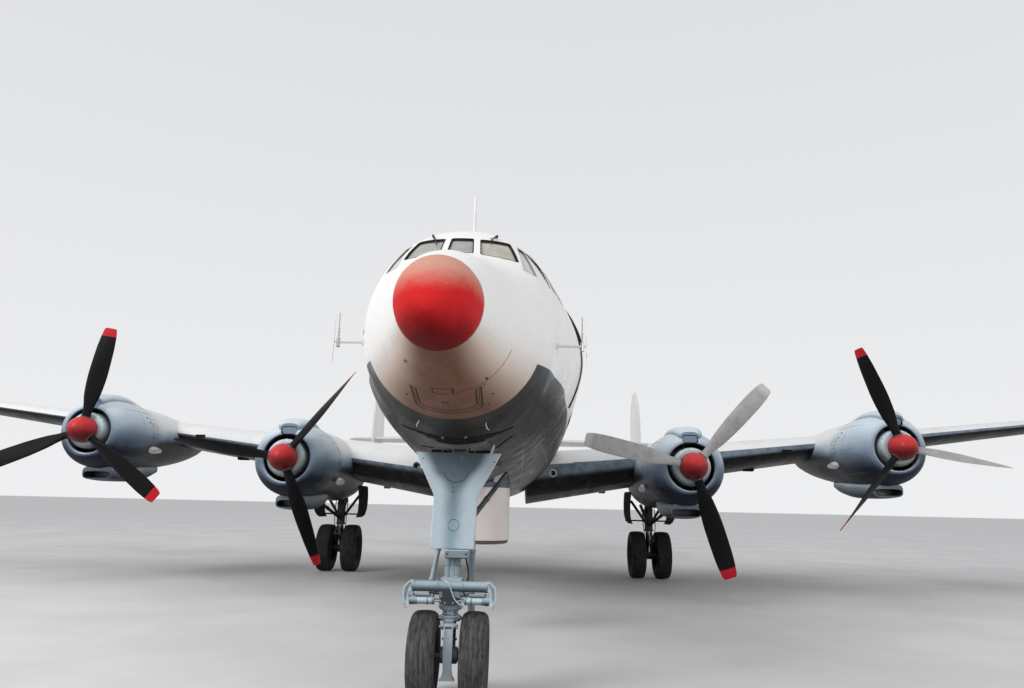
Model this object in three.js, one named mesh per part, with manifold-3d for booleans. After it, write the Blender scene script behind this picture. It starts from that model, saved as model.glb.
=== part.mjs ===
// Four-engine piston transport plane with a long radar nose, a triple tail and tall gear legs.
// Millimetres. The origin is on the ground under the middle of the plane's length.
// +Z is up, the plane faces -Y, and +X is on its port side.

import * as THREE from 'three';
import { mergeVertices } from 'three/addons/utils/BufferGeometryUtils.js';
import Module from 'manifold-3d';

const wasm = await Module();
wasm.setup();

// Driving dimensions

const overallLength = 35410;
const halfSpan = 18745;
const touchingGap = 0.3;
const runningGap = 8;

// Places along the plane are given as distances aft of a datum a little ahead of the nose tip
const noseTipAft = 350;
const fromNose = (aft) => aft - noseTipAft - overallLength / 2;

// Colours, roughness and metalness of the finishes

const finishes = {
  white: new THREE.MeshStandardMaterial({ color: 0xdcdad6, roughness: 0.45, metalness: 0.0 }),
  grey: new THREE.MeshStandardMaterial({ color: 0x4d5c66, roughness: 0.3, metalness: 0.0 }),
  cowl: new THREE.MeshStandardMaterial({ color: 0xa9bccb, roughness: 0.4, metalness: 0.1 }),
  red: new THREE.MeshStandardMaterial({ color: 0xc2262b, roughness: 0.35, metalness: 0.0 }),
  black: new THREE.MeshStandardMaterial({ color: 0x191a1d, roughness: 0.5, metalness: 0.0 }),
  gear: new THREE.MeshStandardMaterial({ color: 0x93adb8, roughness: 0.5, metalness: 0.2 }),
  rubber: new THREE.MeshStandardMaterial({ color: 0x2b2927, roughness: 0.9, metalness: 0.0 }),
  glass: new THREE.MeshStandardMaterial({ color: 0xa3a29c, roughness: 0.2, metalness: 0.0 }),
  steel: new THREE.MeshStandardMaterial({ color: 0x6b6c6e, roughness: 0.4, metalness: 0.8 }),
  fabric: new THREE.MeshStandardMaterial({ color: 0x3f4447, roughness: 0.9, metalness: 0.0 }),
};

// Turning shapes into closed solids, joining them and cutting them

function geometryFrom(points, triangles) {
  const geometry = new THREE.BufferGeometry();
  geometry.setAttribute('position', new THREE.Float32BufferAttribute(points, 3));
  geometry.setIndex(triangles);
  return geometry;
}

function signedVolume(points, triangles) {
  const a = new THREE.Vector3();
  const b = new THREE.Vector3();
  const c = new THREE.Vector3();
  let volume = 0;
  for (let i = 0; i < triangles.length; i += 3) {
    a.fromArray(points, triangles[i] * 3);
    b.fromArray(points, triangles[i + 1] * 3);
    c.fromArray(points, triangles[i + 2] * 3);
    volume += a.dot(b.cross(c)) / 6;
  }
  return volume;
}

function solidOf(geometry) {
  const bare = geometry.clone();
  bare.deleteAttribute('normal');
  bare.deleteAttribute('uv');
  const merged = mergeVertices(bare, 0.001);
  const points = merged.attributes.position.array;
  const index = merged.index.array;
  let triangles = [];
  for (let i = 0; i < index.length; i += 3) {
    const [a, b, c] = [index[i], index[i + 1], index[i + 2]];
    if (a !== b && b !== c && c !== a) triangles.push(a, b, c);
  }
  if (signedVolume(points, triangles) < 0) triangles = triangles.reverse();
  return new wasm.Manifold(new wasm.Mesh({
    numProp: 3,
    vertProperties: new Float32Array(points),
    triVerts: new Uint32Array(triangles),
  }));
}

function geometryOf(solid) {
  const mesh = solid.getMesh();
  return geometryFrom(Array.from(mesh.vertProperties), Array.from(mesh.triVerts));
}

const join = (first, ...others) => others.reduce((whole, part) => whole.add(part), first);
const cut = (whole, ...tools) => tools.reduce((left, tool) => left.subtract(tool), whole);
const largest = (solid) => solid.decompose().sort((a, b) => b.volume() - a.volume())[0];

// A skin over rings with equal numbers of points. Each end closes on a pole, or on its middle.
function skinned(rings, startPole = null, endPole = null) {
  const sides = rings[0].length;
  const points = [];
  const triangles = [];
  for (const ring of rings) {
    for (const point of ring) points.push(point.x, point.y, point.z);
  }
  for (let r = 0; r + 1 < rings.length; r++) {
    for (let s = 0; s < sides; s++) {
      const a = r * sides + s;
      const b = r * sides + (s + 1) % sides;
      triangles.push(a, b, a + sides, b, b + sides, a + sides);
    }
  }
  const close = (first, pole, forwards) => {
    const ring = rings[first / sides];
    const middle = pole ?? ring.reduce((sum, p) => sum.add(p), new THREE.Vector3()).divideScalar(sides);
    const tip = points.length / 3;
    points.push(middle.x, middle.y, middle.z);
    for (let s = 0; s < sides; s++) {
      const a = first + s;
      const b = first + (s + 1) % sides;
      triangles.push(tip, ...(forwards ? [a, b] : [b, a]));
    }
  };
  close(0, startPole, false);
  close((rings.length - 1) * sides, endPole, true);
  return solidOf(geometryFrom(points, triangles));
}

function block(from, to) {
  const size = to.map((value, i) => value - from[i]);
  const geometry = new THREE.BoxGeometry(...size);
  geometry.translate(...from.map((value, i) => value + size[i] / 2));
  return solidOf(geometry);
}

// A round bar between two points, straight or tapered
function bar(from, to, radius, endRadius = radius, sides = 12) {
  const start = new THREE.Vector3(...from);
  const end = new THREE.Vector3(...to);
  const along = end.clone().sub(start);
  const geometry = new THREE.CylinderGeometry(endRadius, radius, along.length(), sides);
  geometry.translate(0, along.length() / 2, 0);
  const turn = new THREE.Quaternion().setFromUnitVectors(new THREE.Vector3(0, 1, 0), along.normalize());
  geometry.applyQuaternion(turn);
  geometry.translate(...from);
  return solidOf(geometry);
}

// A profile of [radius, distance] points turned about the Y axis, the distance running aft
function turned(profile, sides) {
  const points = profile.map(([radius, along]) => new THREE.Vector2(radius, along));
  const geometry = new THREE.LatheGeometry(points, sides);
  return solidOf(geometry);
}

// A flat outline pushed along one axis: its points are (y, z) for x, (x, z) for y, (x, y) for z
function pushed(outline, axis, from, to) {
  const shape = new THREE.Shape(outline.map(([a, b]) => new THREE.Vector2(a, b)));
  const geometry = new THREE.ExtrudeGeometry(shape, { depth: to - from, bevelEnabled: false });
  geometry.translate(0, 0, from);
  const columns = {
    x: new THREE.Matrix4().set(0, 0, 1, 0, 1, 0, 0, 0, 0, 1, 0, 0, 0, 0, 0, 1),
    y: new THREE.Matrix4().set(1, 0, 0, 0, 0, 0, 1, 0, 0, 1, 0, 0, 0, 0, 0, 1),
    z: new THREE.Matrix4(),
  };
  geometry.applyMatrix4(columns[axis]);
  return solidOf(geometry);
}

// The scene graph

const plane = new THREE.Group();

function place(name, solid, finish, parent = plane) {
  const mesh = new THREE.Mesh(geometryOf(solid), finishes[finish]);
  mesh.name = name;
  parent.add(mesh);
  return mesh;
}

// Fuselage: a curve above and one below a waist line, at stations aft of the datum.
// The fullness is the power of a curve: 2 is an ellipse, more is squarer, less is sharper.

// The radome is a blunt dome from its tip to its back
const radome = { back: 945, tipHeight: 3221, power: 1.75 };
const fuselageSides = 32;
// columns: aft, waist height, half width, crown height, keel height, fullness above and below
const fuselageStations = [
  [radome.back, 3402, 353, 3779, 3022, 2.0, 2.0],
  [1350, 3470, 492, 3985, 2900, 2.0, 2.0],
  [1900, 3475, 692, 4118, 2755, 1.97, 2.0],
  [2550, 3520, 898, 4352, 2640, 1.97, 2.0],
  [3000, 3585, 1015, 4690, 2541, 2.2, 1.97],
  [3450, 3645, 1085, 4935, 2457, 2.2, 1.93],
  [4200, 3710, 1250, 5105, 2333, 2.0, 1.86],
  [5200, 3820, 1420, 5243, 2246, 1.95, 1.74],
  [6500, 3905, 1570, 5421, 2157, 1.95, 1.67],
  [8000, 3930, 1635, 5501, 2090, 1.97, 1.72],
  [10000, 3935, 1690, 5575, 2055, 2.0, 1.8],
  [13000, 3905, 1740, 5600, 2035, 2.0, 1.82],
  [17000, 3850, 1765, 5585, 2035, 2.0, 1.86],
  [20000, 3860, 1730, 5570, 2120, 2.0, 1.9],
  [24000, 4030, 1480, 5500, 2560, 2.0, 2.0],
  [28000, 4330, 1090, 5370, 3270, 2.0, 2.0],
  [31000, 4590, 740, 5250, 3870, 2.0, 2.0],
  [34000, 4850, 300, 5100, 4530, 2.0, 2.0],
  [35650, 4945, 60, 5000, 4890, 2.0, 2.0],
];

// A smooth curve through the table's column, with the slope limited so that it never overshoots
function alongTable(table, column, at) {
  const last = table.length - 1;
  const i = Math.min(Math.max(table.findIndex((row) => row[0] > at) - 1, 0), last - 1);
  const index = at >= table[last][0] ? last - 1 : i;
  const slope = (k) => (table[k + 1][column] - table[k][column]) / (table[k + 1][0] - table[k][0]);
  const bend = (k) => {
    if (k === 0) return slope(0);
    if (k === last) return slope(last - 1);
    const [before, after] = [slope(k - 1), slope(k)];
    return before * after <= 0 ? 0 : 2 * before * after / (before + after);
  };
  const width = table[index + 1][0] - table[index][0];
  const t = (at - table[index][0]) / width;
  const from = table[index][column];
  const to = table[index + 1][column];
  return (2 * t ** 3 - 3 * t ** 2 + 1) * from + (t ** 3 - 2 * t ** 2 + t) * width * bend(index)
    + (3 * t ** 2 - 2 * t ** 3) * to + (t ** 3 - t ** 2) * width * bend(index + 1);
}

// The fuselage's section at a station, grown outwards by a margin
function fuselageRing(aft, margin = 0, shift = 0) {
  const [waist, halfWidth, crown, keel, fullAbove, fullBelow] = [1, 2, 3, 4, 5, 6].map(
    (column) => alongTable(fuselageStations, column, Math.max(aft, radome.back)));
  const ahead = Math.max(0, (radome.back - aft) / (radome.back - noseTipAft));
  const dome = Math.sqrt(1 - ahead ** radome.power);
  const centre = waist + (radome.tipHeight - waist) * (1 - dome);
  const ring = [];
  for (let side = 0; side < fuselageSides; side++) {
    const angle = side / fuselageSides * 2 * Math.PI;
    const [across, up] = [Math.sin(angle), Math.cos(angle)];
    const power = 2 / (up > 0 ? fullAbove : fullBelow);
    const reach = (up > 0 ? crown - waist : waist - keel) * dome + margin;
    ring.push(new THREE.Vector3(
      Math.sign(across) * Math.abs(across) ** power * (halfWidth * dome + margin),
      fromNose(aft + shift),
      centre + Math.sign(up) * Math.abs(up) ** power * reach,
    ));
  }
  return ring;
}

function fuselageLength(stations, margin = 0, startPole = null, endPole = null, shift = 0) {
  return skinned(stations.map((aft) => fuselageRing(aft, margin, shift)), startPole, endPole);
}

const wallThickness = 70;
const deckHeight = 3300;
const deckFront = 2640;
const cabinBack = 9700;
const noseTip = new THREE.Vector3(0, fromNose(noseTipAft), radome.tipHeight);
const tailTip = new THREE.Vector3(0, fromNose(noseTipAft + overallLength), 4950);

// The hollow of the flight deck and of the vestibule behind it, above the deck
const hollowStations = [
  deckFront - wallThickness, 2800, 3000, 3200, 3450, 3800, 4200, 4700, 5200, 6500, 8000,
  cabinBack - wallThickness,
];
const insideOfWall = (depth) => fuselageLength(hollowStations, -depth, null, null, depth);
const hollow = cut(
  insideOfWall(wallThickness),
  block([-2500, fromNose(2000), 0], [2500, fromNose(11000), deckHeight]),
);

// Windows of the flight deck, one side of each pair: outlines seen from the front as (x, z) and
// from the side as (aft, z)
const centrePane = [[-135, 4400], [-118, 4682], [112, 4682], [135, 4400]];
const frontPanes = [
  [[215, 4390], [190, 4672], [500, 4702], [560, 4520], [606, 4370]],
  [[575, 4683], [660, 4642], [810, 4232], [660, 4262]],
];
const sidePanes = [
  [[3470, 4260], [3355, 4600], [3440, 4685], [3800, 4700], [3800, 4280]],
  [[3900, 4290], [3900, 4700], [4250, 4690], [4330, 4600], [4330, 4300]],
];
const paneDepth = { front: 2400, back: 3480, inner: 550, outer: 1500 };
const flipped = (outline) => outline.map(([across, height]) => [-across, height]);
const aftToY = (outline) => outline.map(([aft, height]) => [fromNose(aft), height]);

const paneTools = [
  ...[centrePane, ...frontPanes, ...frontPanes.map(flipped)].map((outline) => pushed(
    outline, 'y', fromNose(paneDepth.front), fromNose(paneDepth.back))),
  ...sidePanes.flatMap((outline) => [
    pushed(aftToY(outline), 'x', paneDepth.inner, paneDepth.outer),
    pushed(aftToY(outline), 'x', -paneDepth.outer, -paneDepth.inner),
  ]),
];

// The nose wheel's well: an open-bottomed recess with an arched front, which the leg stands in
const noseWell = { front: 3540, shoulder: 3720, back: 4900, halfWidth: 480, roof: 3190, below: 2000 };
const noseWellTool = pushed([
  [0, fromNose(noseWell.front)],
  [noseWell.halfWidth * 0.6, fromNose(noseWell.front + 45)],
  [noseWell.halfWidth, fromNose(noseWell.shoulder)],
  [noseWell.halfWidth, fromNose(noseWell.back)],
  [-noseWell.halfWidth, fromNose(noseWell.back)],
  [-noseWell.halfWidth, fromNose(noseWell.shoulder)],
  [-noseWell.halfWidth * 0.6, fromNose(noseWell.front + 45)],
], 'z', noseWell.below, noseWell.roof);

// The forward doorway in the port side, with cut corners
const doorway = { front: 8000, back: 9200, sill: deckHeight, top: 5120, corner: 120 };
function doorOutline(margin, shift = 0) {
  const [front, back] = [doorway.front - margin + shift, doorway.back + margin + shift];
  const [low, high] = [doorway.sill - margin, doorway.top + margin];
  const corner = doorway.corner;
  return aftToY([
    [front, low], [front, high - corner], [front + corner, high],
    [back - corner, high], [back, high - corner], [back, low],
  ]);
}
const doorwayTool = pushed(doorOutline(0), 'x', 700, 2200);

const radomeSteps = [0.16, 0.33, 0.52, 0.74].map(
  (t) => radome.back - (radome.back - noseTipAft) * Math.cos(t * Math.PI / 2));
place('nose_radome', fuselageLength([...radomeSteps, radome.back - touchingGap], 0, noseTip), 'red');
place('nose_cone', fuselageLength([radome.back, 1130, 1350, 1600, 1900, 2250 - touchingGap]), 'white');

// The flat pads that jacks lift the plane by stand proud of the skin
const noseJackPad = { aft: 5260, bottom: 2200, half: 80, height: 180 };
const noseJackBlock = block(
  [-noseJackPad.half, fromNose(noseJackPad.aft - noseJackPad.half), noseJackPad.bottom],
  [noseJackPad.half, fromNose(noseJackPad.aft + noseJackPad.half), noseJackPad.bottom + noseJackPad.height]);
const deckShellStations = [
  2250, 2550, 2700, 2850, 3000, 3200, 3450, 3800, 4200, 4700, 5200, 5600 - touchingGap,
];
place('flight_deck_shell', join(
  cut(fuselageLength(deckShellStations), hollow, noseWellTool, ...paneTools),
  noseJackBlock,
), 'white');
place('forward_fuselage', cut(
  fuselageLength([5600, 6500, 7250, 8000, 9000, 10000 - touchingGap]), hollow, doorwayTool), 'white');
place('centre_fuselage', fuselageLength([10000, 11500, 13000, 15000, 17000, 20000 - touchingGap]), 'white');
// The rear fuselage is a tube, because its frames and skin are light and its inside is closed
const rearWall = 150;
const rearStations = [20000, 22000, 24000, 26000, 28000 - touchingGap];
place('rear_fuselage', cut(
  fuselageLength(rearStations),
  fuselageLength([19500, 24000, 28500], -rearWall),
), 'white');

// The glazing is one curved band just inside the wall, behind all the window cut-outs
const glazing = { back: 4400, thickness: 12, bottom: 4190, clearance: 1 };
place('cockpit_glazing', cut(
  insideOfWall(wallThickness + glazing.clearance),
  insideOfWall(wallThickness + glazing.clearance + glazing.thickness),
  block([-2000, fromNose(2000), 0], [2000, fromNose(11000), glazing.bottom]),
  block([-2000, fromNose(glazing.back), 0], [2000, fromNose(11000), 6000]),
), 'glass');

// Flight deck furniture that shows through the windows
place('instrument_panel', pushed(aftToY([
  [2990, deckHeight + 1], [2990, 4230], [3140, 4320], [3200, 4320], [3200, 3900], [3120, deckHeight + 1],
]), 'x', -560, 560), 'black');
const seats = [-430, 430].map((across) => join(
  block([across - 90, fromNose(3720), deckHeight + touchingGap], [across + 90, fromNose(3920), 3640]),
  block([across - 230, fromNose(3560), 3600], [across + 230, fromNose(4060), 3720]),
  pushed(aftToY([[3980, 3680], [4090, 4400], [4190, 4400], [4110, 3640]]), 'x', across - 220, across + 220),
));
place('pilot_seats', join(
  ...seats,
  block([-700, fromNose(3650), deckHeight + touchingGap], [700, fromNose(4000), deckHeight + 20]),
), 'fabric');

// The forward door is a plug that has been moved inwards and slid forward along the wall
const doorLeaf = { forward: 1260, thickness: 45, clearance: 12, lift: 5, margin: -15 };
place('forward_door_leaf', cut(
  insideOfWall(wallThickness + doorLeaf.clearance),
  insideOfWall(wallThickness + doorLeaf.clearance + doorLeaf.thickness),
).intersect(pushed(doorOutline(doorLeaf.margin, -doorLeaf.forward), 'x', 700, 2200))
  .translate([0, 0, -doorLeaf.lift]), 'grey');

// Wings

const leadingEdgeSlope = 0.1317;
const rootLeadingEdge = 13840;
const rootChord = 6000;
const tipChord = 2150;
const rootThickness = 0.24;
const tipThickness = 0.12;

// columns: out from the centreline, leading edge aft of the datum, chord, thickness over chord
const wingLine = (out) => [
  out,
  rootLeadingEdge + leadingEdgeSlope * out,
  rootChord - (rootChord - tipChord) * out / halfSpan,
  tipThickness + (rootThickness - tipThickness) * (1 - out / halfSpan) ** 2,
];
const wingStations = [
  wingLine(850),
  wingLine(4270),
  wingLine(8956),
  wingLine(13500),
  wingLine(17600),
  [18250, 16390, 1850, 0.115],
  [18600, 16700, 1250, 0.09],
  [halfSpan, 17000, 700, 0.05],
];
const wingHeight = (out) => 2480 + 0.125 * out;
const washout = 0.045;
const wingCamber = 0.015;

// Half thickness of the section at a fraction of the chord, for a given thickness over chord
function foilHalf(fraction, thickness) {
  const x = fraction;
  const shape = 0.2969 * Math.sqrt(x) - 0.126 * x - 0.3516 * x ** 2 + 0.2843 * x ** 3 - 0.1015 * x ** 4;
  return 5 * thickness * shape;
}

const foilFractions = [0, 0.015, 0.06, 0.15, 0.3, 0.5, 0.75, 1];
const trailingEdge = 0.0035;

// One section: points as [fraction of the chord aft, fraction of the chord up]
function foilOutline(thickness, camber) {
  const rise = (x) => 4 * camber * x * (1 - x);
  const upper = foilFractions.map((x) => [x, rise(x) + foilHalf(x, thickness) + trailingEdge * x]);
  const lower = foilFractions.slice(1).reverse()
    .map((x) => [x, rise(x) - foilHalf(x, thickness) - trailingEdge * x]);
  return [...upper, ...lower];
}

function wingSolid(side, margin = 0) {
  const rings = wingStations.map(([out, leading, chord, thickness]) => {
    const grown = thickness + 2 * margin / chord;
    return foilOutline(grown, wingCamber).map(([aft, up]) => new THREE.Vector3(
      side * out,
      fromNose(leading - margin + aft * (chord + 2 * margin)),
      wingHeight(out) + up * chord - aft * washout * chord,
    ));
  });
  return skinned(rings);
}

// A frame along a hinge line: x along the line, y aft of it, z up
function hingeFrame(from, to, upwards) {
  const start = new THREE.Vector3(...from);
  const along = new THREE.Vector3(...to).sub(start).normalize();
  const up = new THREE.Vector3(...upwards);
  up.addScaledVector(along, -up.dot(along)).normalize();
  const aft = up.clone().cross(along);
  if (aft.y < 0) aft.negate();
  return new THREE.Matrix4().makeBasis(along, aft, up).setPosition(start);
}

function inFrame(frame, geometry) {
  geometry.applyMatrix4(frame);
  return solidOf(geometry);
}

// Splits a surface at a hinge line: the moving part has a round nose about the line
function splitAtHinge(whole, from, to, upwards, startRadius, endRadius, reach = 3000) {
  const frame = hingeFrame(from, to, upwards);
  const length = new THREE.Vector3(...to).distanceTo(new THREE.Vector3(...from));
  const behind = (gap) => {
    const geometry = new THREE.BoxGeometry(length + 2 * gap, reach, reach);
    geometry.translate(length / 2, reach / 2, 0);
    return inFrame(frame, geometry);
  };
  const nose = (gap) => {
    const geometry = new THREE.CylinderGeometry(endRadius + gap, startRadius + gap, length + 2 * gap, 20);
    geometry.rotateZ(-Math.PI / 2);
    geometry.translate(length / 2, 0, 0);
    return inFrame(frame, geometry);
  };
  return {
    moving: whole.intersect(join(behind(0), nose(0))),
    fixed: cut(whole, behind(runningGap), nose(runningGap)),
  };
}

// A point on a wing's hinge line, on the section's middle at a fraction of its chord
function wingHingePoint(side, out, fraction) {
  const [, leading, chord] = wingLine(out);
  const rise = 4 * wingCamber * fraction * (1 - fraction) - washout * fraction;
  return [side * out, fromNose(leading + fraction * chord), wingHeight(out) + rise * chord];
}
function wingHalf(out, fraction) {
  const [, , chord, thickness] = wingLine(out);
  return foilHalf(fraction, thickness) * chord + trailingEdge * fraction * chord;
}

const aileron = { inner: 11950, outer: 17500, fraction: 0.77 };
const flap = { inner: 2000, outer: 11900, fraction: 0.77 };
const fuselageCutter = fuselageLength(
  [9000, 10000, 11500, 13000, 15000, 17000, 20000, 22000], touchingGap);

const wingJackPad = { out: 2900, aft: 16000, bottom: 2230, half: 80 };
const sides = { port: 1, starboard: -1 };
const wings = {};
for (const [name, side] of Object.entries(sides)) {
  const whole = cut(wingSolid(side), fuselageCutter);
  const ailerons = splitAtHinge(
    whole,
    wingHingePoint(side, aileron.inner, aileron.fraction),
    wingHingePoint(side, aileron.outer, aileron.fraction),
    [0, 0, 1],
    wingHalf(aileron.inner, aileron.fraction) - 2,
    wingHalf(aileron.outer, aileron.fraction) - 2,
  );
  const flapFrame = hingeFrame(
    wingHingePoint(side, flap.inner, flap.fraction),
    wingHingePoint(side, flap.outer, flap.fraction),
    [0, 0, 1],
  );
  const flapBox = (gap) => {
    const geometry = new THREE.BoxGeometry(flap.outer - flap.inner + 2 * gap, 3000, 3000);
    geometry.translate((flap.outer - flap.inner) / 2, 1500 - gap, 0);
    return inFrame(flapFrame, geometry);
  };
  const padTop = [side * wingJackPad.out, fromNose(wingJackPad.aft), wingJackPad.bottom + 300];
  const pad = block(
    [padTop[0] - wingJackPad.half, padTop[1] - wingJackPad.half, wingJackPad.bottom],
    [padTop[0] + wingJackPad.half, padTop[1] + wingJackPad.half, padTop[2]]);
  wings[name] = join(cut(ailerons.fixed, flapBox(touchingGap)), pad);
  place(`wing_${name}`, wings[name], 'white');
  place(`aileron_${name}`, ailerons.moving, 'white');
  place(`flap_${name}`, whole.intersect(flapBox(0)), 'white');
}

// Engines: cowl, engine block, nacelle and propeller at each hub

const propellerRadius = 2310;
// columns: name, side, out, hub aft of the datum, hub height, blade angle from up, clockwise from
// ahead, and pitch added to the blades: two propellers stand near feather and two in reverse
const engines = [
  ['port_inboard', 'port', 4270, 11070, 2737, 43, -47],
  ['starboard_inboard', 'starboard', -4270, 11070, 2737, 37.5, 27],
  ['port_outboard', 'port', 8956, 11760, 3283, 339.5, 28],
  ['starboard_outboard', 'starboard', -8956, 11760, 3283, 8.5, -47],
];

// The cowl turned about the thrust line: [radius, aft of the propeller]. It closes on itself.
const cowlBack = 1960;
const cowlBore = 745;
const cowlProfile = [
  [cowlBore, cowlBack], [cowlBore, 900], [490, 290], [512, 235], [570, 250], [670, 345], [760, 520],
  [808, 900], [812, 1350], [775, cowlBack], [cowlBore, cowlBack],
];

// The engine block, with the round gear case showing around the spinner's foot
const engineProfile = [
  [0, 1900], [690, 1900], [700, 1250], [700, 940], [420, 720], [400, 480], [400, 190], [375, 140],
  [330, 125], [0, 125],
];

// The nacelle behind the cowl, columns: aft of the propeller, centre height, half width, half height
const nacelleStations = {
  inboard: [
    [1965, 0, 775, 775],
    [3200, 0, 745, 790],
    [4600, -60, 700, 800],
    [5900, -40, 580, 700],
    [6700, 40, 400, 480],
    [7200, 130, 200, 210],
  ],
  outboard: [
    [1965, 0, 775, 775],
    [3000, 20, 720, 730],
    [4300, 60, 600, 600],
    [5500, 120, 400, 400],
    [6350, 180, 170, 150],
  ],
};
const nacelleSides = 16;

function nacelleSolid(kind) {
  return skinned(nacelleStations[kind].map(([aft, centre, halfWidth, halfHeight]) => {
    const ring = [];
    for (let side = 0; side < nacelleSides; side++) {
      const angle = side / nacelleSides * 2 * Math.PI;
      ring.push(new THREE.Vector3(
        halfWidth * Math.sin(angle), aft, centre + halfHeight * Math.cos(angle)));
    }
    return ring;
  }));
}

// One blade, columns: distance from the hub, chord, thickness, pitch in degrees
const bladeStations = [
  [150, 170, 150, 40],
  [420, 190, 130, 38],
  [800, 330, 70, 34],
  [1300, 390, 45, 29],
  [1800, 380, 32, 25],
  [2130, 320, 24, 23],
  [2270, 200, 18, 22],
  [propellerRadius, 90, 12, 22],
];
const bladeSides = 8;

function bladeSolid(addedPitch) {
  return skinned(bladeStations.map(([out, chord, thickness, pitch]) => {
    const turn = THREE.MathUtils.degToRad(pitch + addedPitch);
    const ring = [];
    for (let side = 0; side < bladeSides; side++) {
      const angle = side / bladeSides * 2 * Math.PI;
      const along = chord / 2 * Math.cos(angle);
      const through = thickness / 2 * Math.sin(angle);
      ring.push(new THREE.Vector3(
        along * Math.cos(turn) - through * Math.sin(turn),
        -along * Math.sin(turn) - through * Math.cos(turn),
        out,
      ));
    }
    return ring;
  }));
}

// The spinner about the thrust line, with its foot just ahead of the gear case
const spinnerProfile = [
  [0, 100], [280, 100], [280, -60], [240, -200], [150, -310], [56, -362], [0, -368],
];

function propellerSolid(addedPitch) {
  const blade = bladeSolid(addedPitch);
  const blades = [0, 120, 240].map((angle) => blade.rotate([0, angle, 0]));
  return join(turned(spinnerProfile, 16), ...blades);
}

// A duct along the thrust line, with a rounded section of a power that makes it squarer.
// columns: aft of the propeller, height over the thrust line, half width, half height
const ductSides = 12;
function ductSolid(stations, power) {
  return skinned(stations.map(([aft, centre, halfWidth, halfHeight]) => {
    const ring = [];
    for (let side = 0; side < ductSides; side++) {
      const angle = (side + 0.5) / ductSides * 2 * Math.PI;
      const [across, up] = [Math.sin(angle), Math.cos(angle)];
      ring.push(new THREE.Vector3(
        Math.sign(across) * Math.abs(across) ** power * halfWidth,
        aft,
        centre + Math.sign(up) * Math.abs(up) ** power * halfHeight,
      ));
    }
    return ring;
  }));
}

// The air intake's hump on top of the cowl, and the oil cooler's scoop under cowl and nacelle
const topScoopStations = [
  [285, 615, 205, 125],
  [420, 645, 275, 175],
  [620, 690, 330, 190],
  [1100, 700, 345, 205],
  [cowlBack, 600, 300, 200],
];
const topInlet = block([-168, 200, 500], [168, 560, 675]);
const bottomScoopStations = [
  [820, -905, 335, 155],
  [1250, -900, 350, 180],
  [cowlBack, -880, 345, 190],
  [2700, -800, 300, 170],
  [3300, -720, 200, 100],
];
const bottomInletStations = [
  [780, -945, 305, 75],
  [900, -945, 305, 75],
  [1200, -930, 275, 65],
];
const bottomScoop = cut(ductSolid(bottomScoopStations, 0.6), ductSolid(bottomInletStations, 0.5));
const cowlSides = 22;
const cowlCore = turned([[0, 640], [cowlBore + 0.5, 640], [cowlBore + 0.5, 3400], [0, 3400]], cowlSides);
const onCowl = block([-1000, 0, -2000], [1000, cowlBack, 2000]);
const onNacelle = block([-1000, cowlBack + 5, -2000], [1000, 5000, 2000]);

for (const [name, side, out, aft, height, bladeAngle, addedPitch] of engines) {
  const group = new THREE.Group();
  group.position.set(out, fromNose(aft), height);
  plane.add(group);
  const kind = name.split('_')[1];
  const scoops = join(cut(ductSolid(topScoopStations, 0.7), topInlet), bottomScoop.intersect(onCowl));
  const cowlRing = cut(turned(cowlProfile, cowlSides), topInlet);
  place(`cowl_${name}`, join(cowlRing, cut(scoops, cowlCore)), 'cowl', group);
  place(`engine_${name}`, turned(engineProfile, 18), 'steel', group);
  const wing = wings[side].translate([-out, -fromNose(aft), -height]);
  const grownWing = join(wing, ...[
    [0, -touchingGap, touchingGap], [0, -touchingGap, -touchingGap],
    [touchingGap, touchingGap, touchingGap], [-touchingGap, touchingGap, -touchingGap],
  ].map((move) => wing.translate(move)));
  const nacelle = cut(join(nacelleSolid(kind), bottomScoop.intersect(onNacelle)), grownWing);
  place(`nacelle_${name}`, largest(nacelle), 'cowl', group);
  const propeller = place(`propeller_${name}`, propellerSolid(addedPitch), 'black', group);
  propeller.rotation.y = THREE.MathUtils.degToRad(bladeAngle);
}

// Tail

const tail = { hinge: 32500, rudderHinge: 32650, height: 4830, finOut: 6300 };
// columns: out, leading edge, trailing edge, thickness over chord
const stabiliserStations = [
  [200, 30450, 33650, 0.1],
  [6300, 31150, 33550, 0.09],
  [7100, 31350, 33100, 0.09],
  [7480, 31650, 32800, 0.07],
  [7620, 32000, 32550, 0.05],
];
// columns: height, leading edge, trailing edge, thickness over chord
const outerFinStations = [
  [3560, 31950, 32950, 0.05],
  [3680, 31650, 33280, 0.08],
  [4100, 31200, 33650, 0.09],
  [4830, 31000, 33830, 0.09],
  [5700, 31050, 33830, 0.09],
  [6500, 31320, 33680, 0.09],
  [7100, 31680, 33420, 0.09],
  [7380, 32000, 33160, 0.07],
  [7460, 32250, 32950, 0.05],
];
const centreFinStations = [
  [4900, 29500, 33830, 0.07],
  [5350, 30200, 33830, 0.08],
  [6100, 30950, 33800, 0.09],
  [6700, 31300, 33680, 0.09],
  [7200, 31680, 33420, 0.09],
  [7460, 32000, 33160, 0.07],
  [7540, 32250, 32950, 0.05],
];

function tailSurface(stations, point) {
  return skinned(stations.map(([span, leading, trailing, thickness]) => {
    const chord = trailing - leading;
    return foilOutline(thickness, 0).map(
      ([aft, up]) => point(span, fromNose(leading + aft * chord), up * chord));
  }));
}

// The greatest half thickness of a surface at its hinge line, which the moving part's nose gets
function noseRadiusAt(stations, hinge) {
  return Math.max(...stations.map(([, leading, trailing, thickness]) => {
    const chord = trailing - leading;
    const fraction = THREE.MathUtils.clamp((hinge - leading) / chord, 0, 1);
    return foilHalf(fraction, thickness) * chord + trailingEdge * fraction * chord;
  }));
}

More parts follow.
